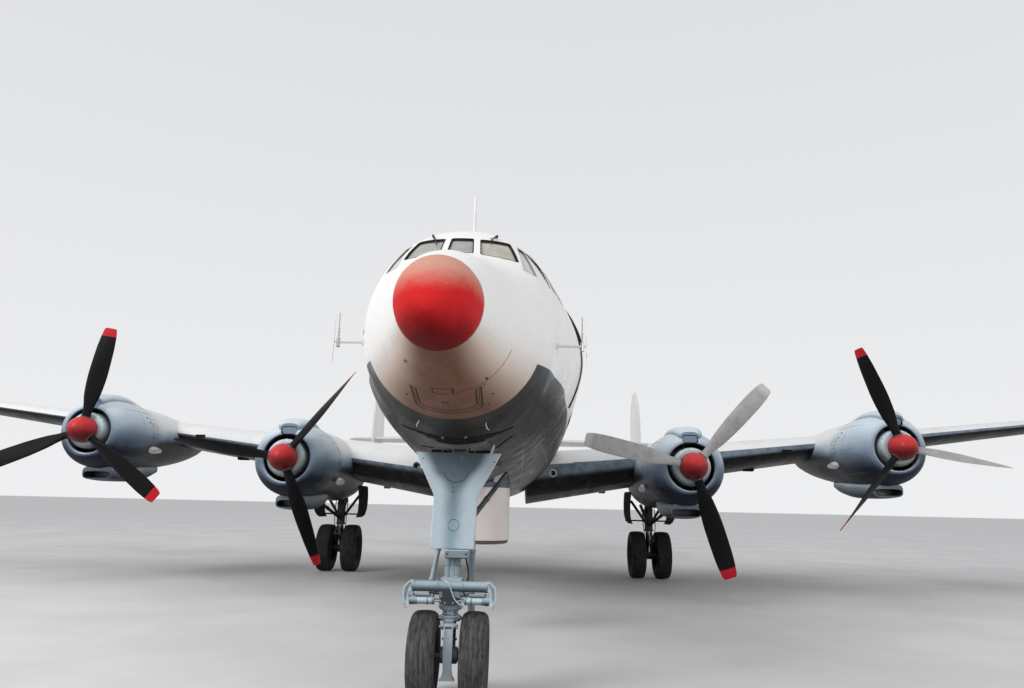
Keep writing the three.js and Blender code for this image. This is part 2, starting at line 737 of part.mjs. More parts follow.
const tailConeStations = [28000, 29500, 31000, 32500, 34000, 35000, 35650];
const tailCone = fuselageLength(tailConeStations, 0, null, tailTip);
const tailConeCutter = fuselageLength([27500, ...tailConeStations.slice(1)], touchingGap,
  null, tailTip);
place('tail_cone', tailCone, 'white');

const elevatorEnds = { inner: 760, outer: 6150, slope: 0.5 };
for (const [name, side] of Object.entries(sides)) {
  const whole = cut(
    tailSurface(stabiliserStations, (span, y, up) => new THREE.Vector3(side * span, y, tail.height + up)),
    tailConeCutter,
  );
  const hingeY = fromNose(tail.hinge);
  const noseRadius = noseRadiusAt(stabiliserStations, tail.hinge);
  const nose = (gap) => bar(
    [side * (elevatorEnds.inner - gap), hingeY, tail.height],
    [side * (elevatorEnds.outer + gap), hingeY, tail.height],
    noseRadius + gap, noseRadius + gap, 20);
  const plan = [
    [side * elevatorEnds.inner, hingeY], [side * elevatorEnds.outer, hingeY],
    [side * (elevatorEnds.outer - 1500 * elevatorEnds.slope), hingeY + 1500],
    [side * elevatorEnds.inner, hingeY + 1500],
  ];
  const behind = pushed(plan, 'z', tail.height - 500, tail.height + 500);
  const allBehind = block([-9000, hingeY, 4000], [9000, hingeY + 3000, 6000]);
  place(`elevator_${name}`, whole.intersect(join(behind, nose(0))), 'white');

  const fin = tailSurface(outerFinStations, (span, y, up) => new THREE.Vector3(
    side * tail.finOut + up, y, span));
  const rudderY = fromNose(tail.rudderHinge);
  const finX = side * tail.finOut;
  const rudderRadius = noseRadiusAt(outerFinStations, tail.rudderHinge);
  const parts = splitAtHinge(
    fin, [finX, rudderY, 3500], [finX, rudderY, 7500], [side, 0, 0], rudderRadius, rudderRadius);
  const outboard = block([Math.min(finX, side * 9000), fromNose(29000), 4000],
    [Math.max(finX, side * 9000), fromNose(34000), 6000]);
  const fixedStabiliser = cut(whole, allBehind, nose(runningGap));
  place(`stabiliser_${name}`, cut(fixedStabiliser, outboard,
    parts.fixed, parts.fixed.translate([-side * touchingGap, 0, 0])), 'white');
  place(`outer_fin_${name}`, join(parts.fixed, fixedStabiliser.intersect(outboard)), 'white');
  place(`outer_rudder_${name}`, parts.moving, 'white');
}

const centreFin = tailSurface(centreFinStations, (span, y, up) => new THREE.Vector3(up, y, span));
const centreRudderFoot = 5330;
const centreRadius = noseRadiusAt(centreFinStations, tail.rudderHinge);
const centreParts = splitAtHinge(centreFin, [0, fromNose(tail.rudderHinge), centreRudderFoot],
  [0, fromNose(tail.rudderHinge), 7600], [1, 0, 0], centreRadius, centreRadius);
place('centre_fin', cut(centreParts.fixed, tailConeCutter,
  block([-300, fromNose(tail.rudderHinge), 4000], [300, fromNose(34000), 5400])), 'white');
place('centre_rudder', centreParts.moving, 'white');

// Wheels: a tyre of flat facets with a hub, made as a pair on one axle tube along X

// columns of the tyre's section: fraction of the half width, fraction of the radius
const tyreSection = [
  [0.6, 0.5], [1, 0.77], [0.9, 0.95], [0.55, 1], [-0.55, 1], [-0.9, 0.95], [-1, 0.77], [-0.6, 0.5],
];
const tyreFacets = 22;

// The radius is given at the middle of a facet, so that a facet lies flat on the ground
function wheelSolid(radius, width, across) {
  const corner = radius / Math.cos(Math.PI / tyreFacets);
  const profile = tyreSection.map(([side, out]) => [out * corner, side * width / 2]);
  const rim = [[0, profile[0][1] * 0.75], [0.42 * corner, profile[0][1] * 0.75]];
  const backRim = [[0.42 * corner, -profile[0][1] * 0.75], [0, -profile[0][1] * 0.75]];
  const wheel = turned([...rim, ...profile, ...backRim], tyreFacets);
  return wheel.rotate([0, 180 / tyreFacets, 0]).rotate([0, 0, 90]).translate([across, 0, 0]);
}

function wheelPair(radius, width, spacing, axleRadius) {
  return join(
    wheelSolid(radius, width, spacing / 2),
    wheelSolid(radius, width, -spacing / 2),
    bar([-spacing / 2, 0, 0], [spacing / 2, 0, 0], axleRadius),
  );
}

// Nose gear. The leg leans aft above its foot, and the turning part under it stands upright.

const noseGear = { aft: 3140, radius: 415, width: 270, spacing: 500, axle: 45 };
const noseLeg = { foot: 905, bend: 950, top: 2950, lean: 0.371, radius: 80 };
const legAft = (height) => Math.max(0, height - noseLeg.bend) * noseLeg.lean;
const noseGroup = new THREE.Group();
noseGroup.position.set(0, fromNose(noseGear.aft), 0);
plane.add(noseGroup);
place('nose_wheels', wheelPair(noseGear.radius, noseGear.width, noseGear.spacing, noseGear.axle)
  .translate([0, 0, noseGear.radius]), 'rubber', noseGroup);

// The turning lower part: piston, collars, the knuckle that the axle runs in, and a flat link
// with a flared foot that hangs from a bolt in front of it
const linkBolt = { forward: 155, height: 705, half: 80, radius: 24 };
const linkOutline = [[-45, 730], [45, 730], [42, 290], [80, 205], [-80, 205], [-42, 290]];
const axleBore = bar([-300, 0, noseGear.radius], [300, 0, noseGear.radius], noseGear.axle + 3);
place('nose_steering_yoke', cut(join(
  bar([0, 0, noseGear.radius], [0, 0, 870], 62),
  bar([-85, 0, noseGear.radius], [85, 0, noseGear.radius], 80),
  bar([0, 0, 738], [0, 0, 792], 106),
  bar([0, 0, 845], [0, 0, 895], 110),
  pushed(linkOutline, 'y', -185, -125),
  block([-40, -130, 380], [40, -60, 450]),
  block([-45, -130, 680], [45, -50, 760]),
  bar([-linkBolt.half, -linkBolt.forward, linkBolt.height],
    [linkBolt.half, -linkBolt.forward, linkBolt.height], linkBolt.radius),
), axleBore), 'gear', noseGroup);

// The fixed upper part: leg, trunnion across the well, twin lobes with a small shield over the
// steering beam, and a long strut on each side behind
const trunnion = { height: 2870, radius: 60 };
const lobe = { across: 48, forward: 60, low: 1080, high: 1440, radius: 34 };
const legBar = (grown) => bar(
  [0, 0, noseLeg.bend], [0, legAft(noseLeg.top), noseLeg.top], noseLeg.radius + grown);
const legFoot = (grown) => bar(
  [0, 0, noseLeg.foot - grown], [0, 0, noseLeg.bend + 60], noseLeg.radius + grown);
const lobes = (grown) => [-1, 1].map((side) => bar(
  [side * lobe.across, legAft(lobe.low) - lobe.forward, lobe.low - grown],
  [side * lobe.across, legAft(lobe.high) - lobe.forward, lobe.high], lobe.radius + grown));
const crossTube = (grown) => bar([-108 - grown, 0, 1090], [108 + grown, 0, 1090], 62 + grown);
const nosePortStrut = { top: [153, 410, 2000], foot: [180, 490, 730], link: [0, 0, 965], radius: 38 };
const noseStarboardStrut = { top: [-105, 300, 1780], foot: [-225, 30, 1010], link: [0, 0, 985], radius: 24 };
place('nose_leg', join(
  legFoot(0),
  legBar(0),
  bar([-noseWell.halfWidth + touchingGap, legAft(trunnion.height), trunnion.height],
    [noseWell.halfWidth - touchingGap, legAft(trunnion.height), trunnion.height], trunnion.radius),
  ...lobes(0),
  crossTube(0),
  block([-70, -150, 1340], [170, 100, 1425]),
  bar(nosePortStrut.top, nosePortStrut.foot, nosePortStrut.radius),
  bar([0, legAft(2000), 2000], nosePortStrut.top, nosePortStrut.radius),
  bar(nosePortStrut.link, [175, 475, 965], nosePortStrut.radius),
  bar(noseStarboardStrut.top, noseStarboardStrut.foot, noseStarboardStrut.radius),
  bar(noseStarboardStrut.link, noseStarboardStrut.foot, noseStarboardStrut.radius),
), 'gear', noseGroup);
// The beam's hooked arms as (x, z): they carry the outer ends of the steering cylinders
const beamArm = [
  [350, 1132], [395, 1132], [452, 1075], [458, 985], [430, 892], [385, 892], [402, 985], [392, 1035],
  [350, 1050],
];
place('nose_steering_beam', cut(join(
  bar([-380, -170, 1078], [380, -170, 1078], 52),
  pushed(beamArm, 'y', -215, -125),
  pushed(flipped(beamArm), 'y', -215, -125),
  bar([-420, -170, 946], [-100, -170, 946], 15),
  bar([100, -170, 946], [420, -170, 946], 15),
  bar([-392, -170, 946], [-145, -170, 946], 40),
  bar([145, -170, 946], [392, -170, 946], 40),
  block([-110, -200, 905], [110, 0, 1110]),
), legFoot(touchingGap), legBar(touchingGap), crossTube(touchingGap), ...lobes(touchingGap),
bar(noseStarboardStrut.link, noseStarboardStrut.foot, noseStarboardStrut.radius + touchingGap),
), 'gear', noseGroup);

// The fairing plate in front of the leg, wide at the top, leaning a little more than the leg
const plate = { bottom: 1430, forward: 120, lean: 0.408, thickness: 25 };
// columns: half width, height
const plateEdge = [[455, 2410], [226, 1980], [217, plate.bottom]];
const plateForward = (height) => plate.forward - (height - plate.bottom) * plate.lean;
const plateOutline = [...plateEdge, ...plateEdge.map(([half, height]) => [-half, height]).reverse()];
const plateRing = (back) => plateOutline.map(
  ([across, height]) => new THREE.Vector3(across, -plateForward(height) + back, height));
place('nose_fairing_plate', cut(join(
  skinned([plateRing(0), plateRing(plate.thickness)]),
  ...[1650, 2200].map((height) => bar(
    [0, -plateForward(height) + plate.thickness / 2, height], [0, legAft(height), height], 55)),
), legBar(touchingGap)), 'gear', noseGroup);

// The drag brace: two arms that spread from the leg to the belly behind the well
const dragBrace = { height: 1600, across: 515, aft: 2400, top: 2320, radius: 32 };
place('nose_drag_brace', cut(join(...[-1, 1].map((side) => bar(
  [0, legAft(dragBrace.height), dragBrace.height],
  [side * dragBrace.across, dragBrace.aft, dragBrace.top], dragBrace.radius))),
legBar(touchingGap),
fuselageLength([4700, 5200, 5600, 6500], touchingGap).translate([0, -fromNose(noseGear.aft), 0]),
), 'black', noseGroup);

// Main gear, one on each inboard nacelle

const mainGear = { out: 4270, aft: 16740, radius: 620, width: 380, spacing: 680, axle: 60, top: 1930 };
const mainBrace = { height: 1400, forward: -1300, across: 420, radius: 50 };
const doorPanel = [[-650, 1930], [-620, 1620], [-420, 1440], [430, 1440], [560, 1930]];
const doorSides = { inner: 590, outer: 620 };
const doorLink = { aft: 320, height: 1520, radius: 20 };
for (const [name, side] of Object.entries(sides)) {
  const group = new THREE.Group();
  group.position.set(side * mainGear.out, fromNose(mainGear.aft), 0);
  plane.add(group);
  place(`main_wheels_${name}`, wheelPair(mainGear.radius, mainGear.width, mainGear.spacing, mainGear.axle)
    .translate([0, 0, mainGear.radius]), 'rubber', group);
  const hubBore = bar([-300, 0, mainGear.radius], [300, 0, mainGear.radius], mainGear.axle + 3);
  place(`main_leg_${name}`, cut(join(
    bar([0, 0, mainGear.radius], [0, 0, 1250], 90),
    bar([0, 0, 1250], [0, 0, mainGear.top], 135),
    bar([-120, 0, mainGear.radius], [120, 0, mainGear.radius], 120),
    bar([0, -60, mainBrace.height], [-mainBrace.across, mainBrace.forward, mainGear.top], mainBrace.radius),
    bar([0, -60, mainBrace.height], [mainBrace.across, mainBrace.forward, mainGear.top], mainBrace.radius),
  ), hubBore), 'gear', group);
  place(`main_doors_${name}`, join(
    pushed(doorPanel, 'x', -doorSides.outer, -doorSides.inner),
    pushed(doorPanel, 'x', doorSides.inner, doorSides.outer),
    bar([-doorSides.inner - 10, doorLink.aft, doorLink.height],
      [doorSides.inner + 10, doorLink.aft, doorLink.height], doorLink.radius),
  ), 'cowl', group);
}

// Drum radome under the belly
const drum = { aft: 7000, radius: 520, bottom: 1300, top: 2700 };
const drumProfile = [
  [0, drum.bottom], [475, drum.bottom], [507, 1316], [drum.radius, 1352], [drum.radius, drum.top],
  [0, drum.top],
];
place('belly_radome', cut(
  turned(drumProfile, 28).rotate([90, 0, 0]).translate([0, fromNose(drum.aft), 0]),
  fuselageLength([5000, 5600, 6500, 7250, 8000, 9000], touchingGap),
), 'white');

// Aerial mast on the roof, behind the flight deck's windows
const mast = { y: fromNose(4700), foot: 5050, collar: 5280, top: 5900 };
place('roof_mast', cut(join(
  bar([0, mast.y, mast.foot], [0, mast.y, mast.top], 22, 12, 10),
  bar([0, mast.y, mast.foot], [0, mast.y, mast.collar], 60, 40, 12),
), fuselageLength([4200, 4700, 5200], touchingGap)), 'white');

export default plane;
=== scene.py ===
"""Looks of a four-engine piston transport plane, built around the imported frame, in metres.

X runs to the plane's port side, -Y is ahead, Z is up, and the ground is Z = 0.
"""
import math

import bmesh
import bpy
import numpy as np
from mathutils import Matrix, Vector


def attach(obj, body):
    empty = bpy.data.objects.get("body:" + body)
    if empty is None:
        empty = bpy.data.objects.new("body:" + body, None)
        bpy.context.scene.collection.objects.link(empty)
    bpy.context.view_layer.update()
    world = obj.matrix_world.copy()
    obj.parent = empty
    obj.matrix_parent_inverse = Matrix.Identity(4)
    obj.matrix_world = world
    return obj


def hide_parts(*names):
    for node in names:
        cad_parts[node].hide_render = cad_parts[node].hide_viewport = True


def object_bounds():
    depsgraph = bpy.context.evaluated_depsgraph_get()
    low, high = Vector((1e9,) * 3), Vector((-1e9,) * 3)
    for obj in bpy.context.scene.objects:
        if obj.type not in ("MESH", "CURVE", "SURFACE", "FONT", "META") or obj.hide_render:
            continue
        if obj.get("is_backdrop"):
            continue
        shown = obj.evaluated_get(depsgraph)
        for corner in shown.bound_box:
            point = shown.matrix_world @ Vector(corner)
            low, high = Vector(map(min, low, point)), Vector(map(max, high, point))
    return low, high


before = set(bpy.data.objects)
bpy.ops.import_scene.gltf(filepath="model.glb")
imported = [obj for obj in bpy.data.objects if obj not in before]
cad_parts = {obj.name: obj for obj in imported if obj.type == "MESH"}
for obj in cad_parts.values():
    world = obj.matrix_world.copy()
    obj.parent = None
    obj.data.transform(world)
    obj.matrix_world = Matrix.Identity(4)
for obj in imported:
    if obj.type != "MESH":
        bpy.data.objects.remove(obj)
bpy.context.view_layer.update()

HALF_LENGTH = 35.41 / 2
HALF_SPAN = 18.745
NOSE_TIP_AFT = 0.35
SIDES = {"port": 1, "starboard": -1}


def from_nose(aft):
    """Y for a distance aft of a datum, which lies a little ahead of the nose tip."""
    return aft - NOSE_TIP_AFT - HALF_LENGTH


# Shapes: points and faces gathered for one piece


class Shape:
    """Points and faces of one piece. Each face carries the number of its material."""

    def __init__(self):
        self.points, self.faces, self.paints = [], [], []

    def add(self, points, faces, paint=0):
        base = len(self.points)
        self.points.extend([tuple(map(float, p)) for p in points])
        self.faces.extend([tuple(base + i for i in f) for f in faces])
        self.paints.extend([paint] * len(faces))
        return self

    def join(self, other, matrix=None, paint=None):
        points = other.points
        if matrix is not None:
            points = [tuple(matrix @ Vector(p)) for p in points]
        base = len(self.points)
        self.points.extend(points)
        self.faces.extend([tuple(base + i for i in f) for f in other.faces])
        self.paints.extend(other.paints if paint is None else [paint] * len(other.faces))
        return self

SHARP_EDGE = math.radians(35.0)


def object_from(shape, name, materials):
    mesh = bpy.data.meshes.new(name)
    mesh.from_pydata(shape.points, [], shape.faces)
    mesh.polygons.foreach_set("material_index", shape.paints)
    for item in materials:
        mesh.materials.append(item)
    work = bmesh.new()
    work.from_mesh(mesh)
    bmesh.ops.remove_doubles(work, verts=work.verts, dist=1e-5)
    bmesh.ops.recalc_face_normals(work, faces=work.faces)
    work.to_mesh(mesh)
    work.free()
    mesh.shade_smooth()
    mesh.set_sharp_from_angle(angle=SHARP_EDGE)
    made = bpy.data.objects.new(name, mesh)
    bpy.context.scene.collection.objects.link(made)
    return made


def piece(shape, name, materials, body="airframe", slot="white_paint", replaces=None):
    """Builds a shape as a piece that rides on a body and stands for the node it replaces."""
    made = shape if isinstance(shape, bpy.types.Object) else object_from(shape, name, materials)
    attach(made, body)
    if replaces:
        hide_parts(replaces)
    return made


def piece_at(shape, at, name, materials, **settings):
    """A piece whose own origin lies at a place."""
    made = object_from(shape, name, materials)
    made.location = at
    bpy.context.view_layer.update()
    return piece(made, name, None, **settings)


def turns(count, offset=0.0):
    """Angles spread evenly around a circle."""
    return [2 * math.pi * (k + offset) / count for k in range(count)]


def smooth_path(points, steps):
    """Points along a smooth curve through the given ones, by Catmull and Rom's rule."""
    p = np.array(points, float)
    ends = np.vstack([2 * p[0] - p[1], p, 2 * p[-1] - p[-2]])
    found = []
    for i in range(1, len(ends) - 2):
        a, b, c, d = ends[i - 1: i + 3]
        for k in range(steps):
            t = k / steps
            found.append(0.5 * (2 * b + (c - a) * t + (2 * a - 5 * b + 4 * c - d) * t ** 2
                                + (3 * b - a - 3 * c + d) * t ** 3))
    found.append(p[-1])
    return np.array(found)


def loft(rings, paint=0, caps=(True, True), closed=True):
    """A skin over rings of points, with flat caps where asked."""
    count, around = len(rings), len(rings[0])
    points = [p for ring in rings for p in ring]
    faces = []
    for r in range(count - 1):
        for s in range(around if closed else around - 1):
            a, b = r * around + s, r * around + (s + 1) % around
            faces.append((a, b, b + around, a + around))
    if caps[0]:
        faces.append(tuple(reversed(range(around))))
    if caps[1]:
        faces.append(tuple(range((count - 1) * around, count * around)))
    return Shape().add(points, faces, paint)


def lathe(profile, sides, paint=0, centre=(0, 0, 0), axis="Y"):
    """A profile of (radius, distance) turned about an axis through the centre."""
    rings = []
    for radius, along in profile:
        radius = max(radius, 1e-6)
        ring = []
        for angle in turns(sides):
            across, up = radius * math.sin(angle), radius * math.cos(angle)
            point = {"Y": (across, along, up), "X": (along, across, up), "Z": (across, up, along)}[axis]
            ring.append(np.add(centre, point))
        rings.append(ring)
    return loft(rings, paint, caps=(False, False))


def turn_to(direction):
    return Vector((0, 0, 1)).rotation_difference(Vector(direction)).to_matrix()


def tube(path, radius, sides=12, paint=0, squash=1.0):
    """A round rod along a path. The radius is one number, or one for each point."""
    path = [Vector(p) for p in path]
    radii = [radius] * len(path) if isinstance(radius, (int, float)) else radius
    rings = []
    for i, point in enumerate(path):
        ahead = path[min(i + 1, len(path) - 1)] - path[max(i - 1, 0)]
        turn = turn_to(ahead.normalized())
        rings.append([point + turn @ Vector((radii[i] * math.cos(a), squash * radii[i] * math.sin(a), 0))
                      for a in turns(sides)])
    return loft(rings, paint)


def rod(start, end, radius, sides=20, paint=0, chamfer=0.15):
    """A straight round bar with chamfered ends."""
    a, b = Vector(start), Vector(end)
    edge = min(radius * chamfer, (b - a).length / 4)
    step = (b - a).normalized() * edge
    return tube([a, a + step, b - step, b], [radius - edge, radius, radius, radius - edge], sides, paint)


def slab(low, high, bevel=0.004, paint=0):
    """A box with chamfered edges, by its lowest and highest corners."""
    lo, hi = np.minimum(low, high), np.maximum(low, high)
    edge = min(bevel, float((hi - lo).min()) * 0.4)
    points = []
    for corner in range(8):
        at = [hi[k] if corner >> k & 1 else lo[k] for k in range(3)]
        inward = [-edge if corner >> k & 1 else edge for k in range(3)]
        for k in range(3):
            points.append([at[m] + (inward[m] if m != k else 0) for m in range(3)])
    work = bmesh.new()
    for p in points:
        work.verts.new(p)
    bmesh.ops.convex_hull(work, input=work.verts)
    bmesh.ops.dissolve_limit(work, angle_limit=0.01, verts=work.verts, edges=work.edges)
    work.verts.index_update()
    faces = [[v.index for v in f.verts] for f in work.faces]
    shape = Shape().add([v.co[:] for v in work.verts], faces, paint)
    work.free()
    return shape


def prism(outline, axis, low, high, paint=0):
    """A flat outline pushed along an axis: (y, z) for X, (x, z) for Y, (x, y) for Z."""
    def place(a, b, along):
        return {"X": (along, a, b), "Y": (a, along, b), "Z": (a, b, along)}[axis]

    return loft([[place(a, b, along) for a, b in outline] for along in (low, high)], paint)


def rounded(outline, radius, steps=5):
    """The outline with its corners rounded."""
    found = []
    count = len(outline)
    for i in range(count):
        before, at, after = (np.array(outline[(i + k) % count], float) for k in (-1, 0, 1))
        near = min(radius, 0.45 * np.linalg.norm(before - at), 0.45 * np.linalg.norm(after - at))
        start = at + (before - at) / np.linalg.norm(before - at) * near
        end = at + (after - at) / np.linalg.norm(after - at) * near
        for k in range(steps + 1):
            t = k / steps
            found.append((1 - t) ** 2 * start + 2 * t * (1 - t) * at + t ** 2 * end)
    return found


def ribbon(points, normals, width, height, paint=0, sink=0.004):
    """A flat strip that lies on a surface along a line of points."""
    points = [Vector(p) for p in points]
    rings = []
    for i, point in enumerate(points):
        ahead = points[min(i + 1, len(points) - 1)] - points[max(i - 1, 0)]
        normal = Vector(normals[i]).normalized()
        side = normal.cross(ahead.normalized()).normalized() * width / 2
        rings.append([point - side - normal * sink, point + side - normal * sink,
                      point + side + normal * height, point - side + normal * height])
    return loft(rings, paint)


def remove(made):
    mesh = made.data
    bpy.data.objects.remove(made)
    bpy.data.meshes.remove(mesh)


def boolean(target, tool, operation="DIFFERENCE"):
    """Cuts a closed object with another, which is then removed. Cut faces get the tool's material."""
    change = target.modifiers.new("cut", "BOOLEAN")
    change.operation = operation
    change.solver = "EXACT"
    change.object = tool
    change.material_mode = "TRANSFER"
    graph = bpy.context.evaluated_depsgraph_get()
    mesh = bpy.data.meshes.new_from_object(target.evaluated_get(graph))
    target.modifiers.clear()
    old = target.data
    target.data = mesh
    bpy.data.meshes.remove(old)
    remove(tool)
    return target


def cut(target, shape, material, operation="DIFFERENCE"):
    """Cuts a closed object with a shape."""
    return boolean(target, object_from(shape, "tool", [material]), operation)


def shape_of(made):
    """Turns an object back into a shape, and removes the object."""
    mesh = made.data
    shape = Shape()
    shape.points = [tuple(v.co) for v in mesh.vertices]
    shape.faces = [tuple(p.vertices) for p in mesh.polygons]
    shape.paints = [p.material_index for p in mesh.polygons]
    remove(made)
    return shape


def resharpen(target):
    target.data.shade_smooth()
    target.data.set_sharp_from_angle(angle=SHARP_EDGE)
    return target


# Materials: every finish is made of nodes that read the object's own coordinates


class Finish:
    """A material with a short way to add and join nodes."""

    def __init__(self, name):
        self.material = bpy.data.materials.new(name)
        self.material.use_nodes = True
        self.tree = self.material.node_tree
        self.shader = self.tree.nodes["Principled BSDF"]
        where = self.tree.nodes.new("ShaderNodeTexCoord")
        self.place = where.outputs["Object"]
        split = self.node("ShaderNodeSeparateXYZ", {0: self.place})
        self.x, self.y, self.z = split.outputs
        self.normal = self.node("ShaderNodeSeparateXYZ",
                                {0: self.node("ShaderNodeNewGeometry").outputs["Normal"]}).outputs

    def node(self, kind, inputs=None, **settings):
        made = self.tree.nodes.new(kind)
        for key, value in settings.items():
            setattr(made, key, value)
        for key, value in (inputs or {}).items():
            if isinstance(value, bpy.types.NodeSocket):
                self.tree.links.new(value, made.inputs[key])
            else:
                made.inputs[key].default_value = value
        return made

    def math(self, operation, a, b=0.0, clamp=False):
        made = self.node("ShaderNodeMath", {0: a, 1: b}, operation=operation)
        made.use_clamp = clamp
        return made.outputs[0]

    def times(self, a, b):
        return self.math("MULTIPLY", a, b)

    def plus(self, a, b):
        return self.math("ADD", a, b)

    def band(self, value, low, high, to_low=0.0, to_high=1.0):
        """A soft step: to_low below low, to_high above high."""
        made = self.node("ShaderNodeMapRange", {"Value": value, "From Min": low, "From Max": high,
                                                "To Min": to_low, "To Max": to_high})
        made.interpolation_type = "SMOOTHSTEP"
        return made.outputs[0]

    def mix(self, share, first, second):
        made = self.node("ShaderNodeMix", data_type="RGBA")
        sockets = [s for s in made.inputs if s.type == "RGBA"]
        self.put(made.inputs[0], share)
        self.put(sockets[0], first)
        self.put(sockets[1], second)
        return [s for s in made.outputs if s.type == "RGBA"][0]

    def put(self, socket, value):
        if isinstance(value, bpy.types.NodeSocket):
            self.tree.links.new(value, socket)
        elif isinstance(value, (tuple, list)):
            socket.default_value = (*value[:3], 1.0)
        else:
            socket.default_value = value

    def noise(self, scale, detail=4.0, roughness=0.55, stretch=(1, 1, 1)):
        moved = self.node("ShaderNodeMapping", {"Vector": self.place, "Scale": stretch}).outputs[0]
        return self.node("ShaderNodeTexNoise", {"Vector": moved, "Scale": scale, "Detail": detail,
                                                "Roughness": roughness}).outputs[0]

    def wear(self, share, scale, stretch=(1, 1, 1)):
        """Cloudy stains, and how far they and finer specks wear the paint."""
        cloud = self.band(self.noise(scale, 6.0, 0.6, stretch), 0.38, 0.75)
        speck = self.band(self.noise(scale * 14, 3.0, 0.7), 0.52, 0.72)
        return cloud, self.math("MULTIPLY", self.plus(cloud, self.times(speck, 0.35)), share, clamp=True)

    def bump(self, height, strength, distance):
        made = self.node("ShaderNodeBump", {"Height": height, "Strength": strength, "Distance": distance})
        self.tree.links.new(made.outputs[0], self.shader.inputs["Normal"])

    def finish(self, colour, roughness=0.5, metallic=0.0, coat=0.0, specular=0.5):
        self.put(self.shader.inputs["Base Color"], colour)
        self.put(self.shader.inputs["Roughness"], roughness)
        self.put(self.shader.inputs["Metallic"], metallic)
        self.shader.inputs["Coat Weight"].default_value = coat
        self.shader.inputs["Specular IOR Level"].default_value = specular
        return self.material


def paint_finish(name, colour, stain, rough=(0.35, 0.55), metallic=0.0, coat=0.0, share=0.35,
                 scale=1.2, stretch=(1, 1, 1), specular=0.5):
    """Paint with cloudy stains, finer specks, uneven gloss and a slightly rough skin."""
    f = Finish(name)
    cloud, worn = f.wear(share, scale, stretch)
    tone = f.mix(worn, colour, stain)
    f.bump(f.noise(60.0, 3.0), 0.08, 0.001)
    return f.finish(tone, f.band(cloud, 0.0, 1.0, rough[0], rough[1]), metallic, coat, specular)


def light_and_shade_paint(name, upper, lower, stain, rough=(0.35, 0.55), share=0.4, scale=3.0, turn=(-0.7, 0.6),
              coat=0.0, specular=0.35):
    """Paint with painted light where it faces up and painted shade where it faces down, with cloudy stains.
    """
    f = Finish(name)
    cloud, worn = f.wear(share, scale)
    # Painted light and shade: the upper colour where the surface faces up, the lower one where it faces
    # down
    base = f.mix(f.band(f.normal[2], turn[0], turn[1]), lower, upper)
    f.bump(f.noise(60.0, 3.0), 0.08, 0.001)
    gloss = f.band(cloud, 0.0, 1.0, rough[0], rough[1])
    return f.finish(f.mix(worn, base, stain), gloss, coat=coat, specular=specular)


WHITE = (0.80, 0.79, 0.77)


def hull_finish():
    """White above, dark slate below an edge that arches beside the well, with painted shade as the slate
    faces down, and under the nose a painted reflection of warm ground that turns darker tan further under.
    """
    f = Finish("hull_paint")
    streak = f.noise(3.0, 6.0, 0.65, (1.0, 0.35, 0.12))
    cloud = f.band(f.noise(0.8, 5.0, 0.6), 0.35, 0.8)
    white = f.mix(f.times(f.band(streak, 0.5, 0.8), 0.07), WHITE, (0.62, 0.60, 0.56))
    white = f.mix(f.times(cloud, 0.12), white, (0.70, 0.71, 0.70))
    ahead = f.band(f.y, from_nose(3.4), from_nose(2.7))
    # Under the nose: a painted reflection of warm ground, and further under a darker tan in patches,
    # painted reflection and shade
    warm_reflection = f.times(f.band(f.normal[2], -0.20, -0.72), ahead)
    dust_and_reflection = f.times(f.band(f.normal[2], -0.52, -0.94), ahead)
    patch = f.band(f.noise(5.0, 5.0, 0.6, (1, 0.3, 1)), 0.35, 0.7)
    tan = f.mix(patch, (0.150, 0.066, 0.038), (0.110, 0.047, 0.027))
    white = f.mix(f.times(warm_reflection, 0.9), white, (0.52, 0.375, 0.29))
    white = f.mix(dust_and_reflection, white, tan)
    scratch = f.band(f.noise(9.0, 6.0, 0.75, (1.0, 0.15, 2.5)), 0.58, 0.78)
    blotch = f.band(f.noise(1.9, 5.0, 0.65, (1.0, 0.6, 1.0)), 0.44, 0.66)
    shade = f.mix(f.band(f.normal[2], -0.25, -0.75), (0.030, 0.043, 0.050), (0.0085, 0.0065, 0.0050))
    belly = f.mix(f.times(blotch, 0.45), shade, (0.036, 0.025, 0.017))
    belly = f.mix(f.times(scratch, 0.16), belly, (0.060, 0.050, 0.040))
    along = f.math("DIVIDE", f.math("SUBTRACT", f.y, from_nose(3.65)), 1.25)
    arch = f.math("SUBTRACT", 1.0, f.times(along, along), clamp=True)
    low = f.band(f.math("SUBTRACT", f.z, f.times(arch, 0.06)), 3.213, 3.207)
    slate = f.times(low, f.band(f.y, from_nose(2.434), from_nose(2.440)))
    tone = f.mix(slate, white, belly)
    gloss = f.band(f.noise(4.0, 5.0), 0.3, 0.75, 0.24, 0.42)
    f.bump(f.noise(2.2, 2.0), 0.16, 0.012)
    return f.finish(tone, f.plus(gloss, f.times(dust_and_reflection, 0.2)), specular=0.18)


def radome_finish():
    """Red paint, bleached and chalky on top, with pale specks, and painted shade that darkens it to near
    black below, where it is smooth.
    """
    f = Finish("radome_red")
    turn = f.plus(f.z, f.times(f.noise(3.0, 4.0), 0.14))
    turn = f.plus(turn, f.times(f.noise(13.0, 6.0, 0.75), 0.10))
    bleach = f.band(turn, 3.45, 3.74)
    # Painted shade: the red darkens to near black towards the bottom
    low = f.band(turn, 3.42, 3.16)
    tone = f.mix(bleach, (0.56, 0.018, 0.020), (0.56, 0.285, 0.215))
    tone = f.mix(f.times(low, 0.96), tone, (0.095, 0.0012, 0.0020))
    speck = f.band(f.noise(16.0, 8.0, 0.85), 0.60, 0.68)
    port = f.band(f.x, -0.22, 0.22, 0.25, 1.0)
    speck = f.times(f.times(speck, port), f.band(turn, 3.42, 3.56))
    tone = f.mix(f.times(speck, 0.65), tone, (0.85, 0.55, 0.42))
    f.bump(f.noise(70.0, 4.0), 0.12, 0.001)
    return f.finish(tone, f.band(turn, 3.30, 3.60, 0.55, 0.75), specular=0.05)


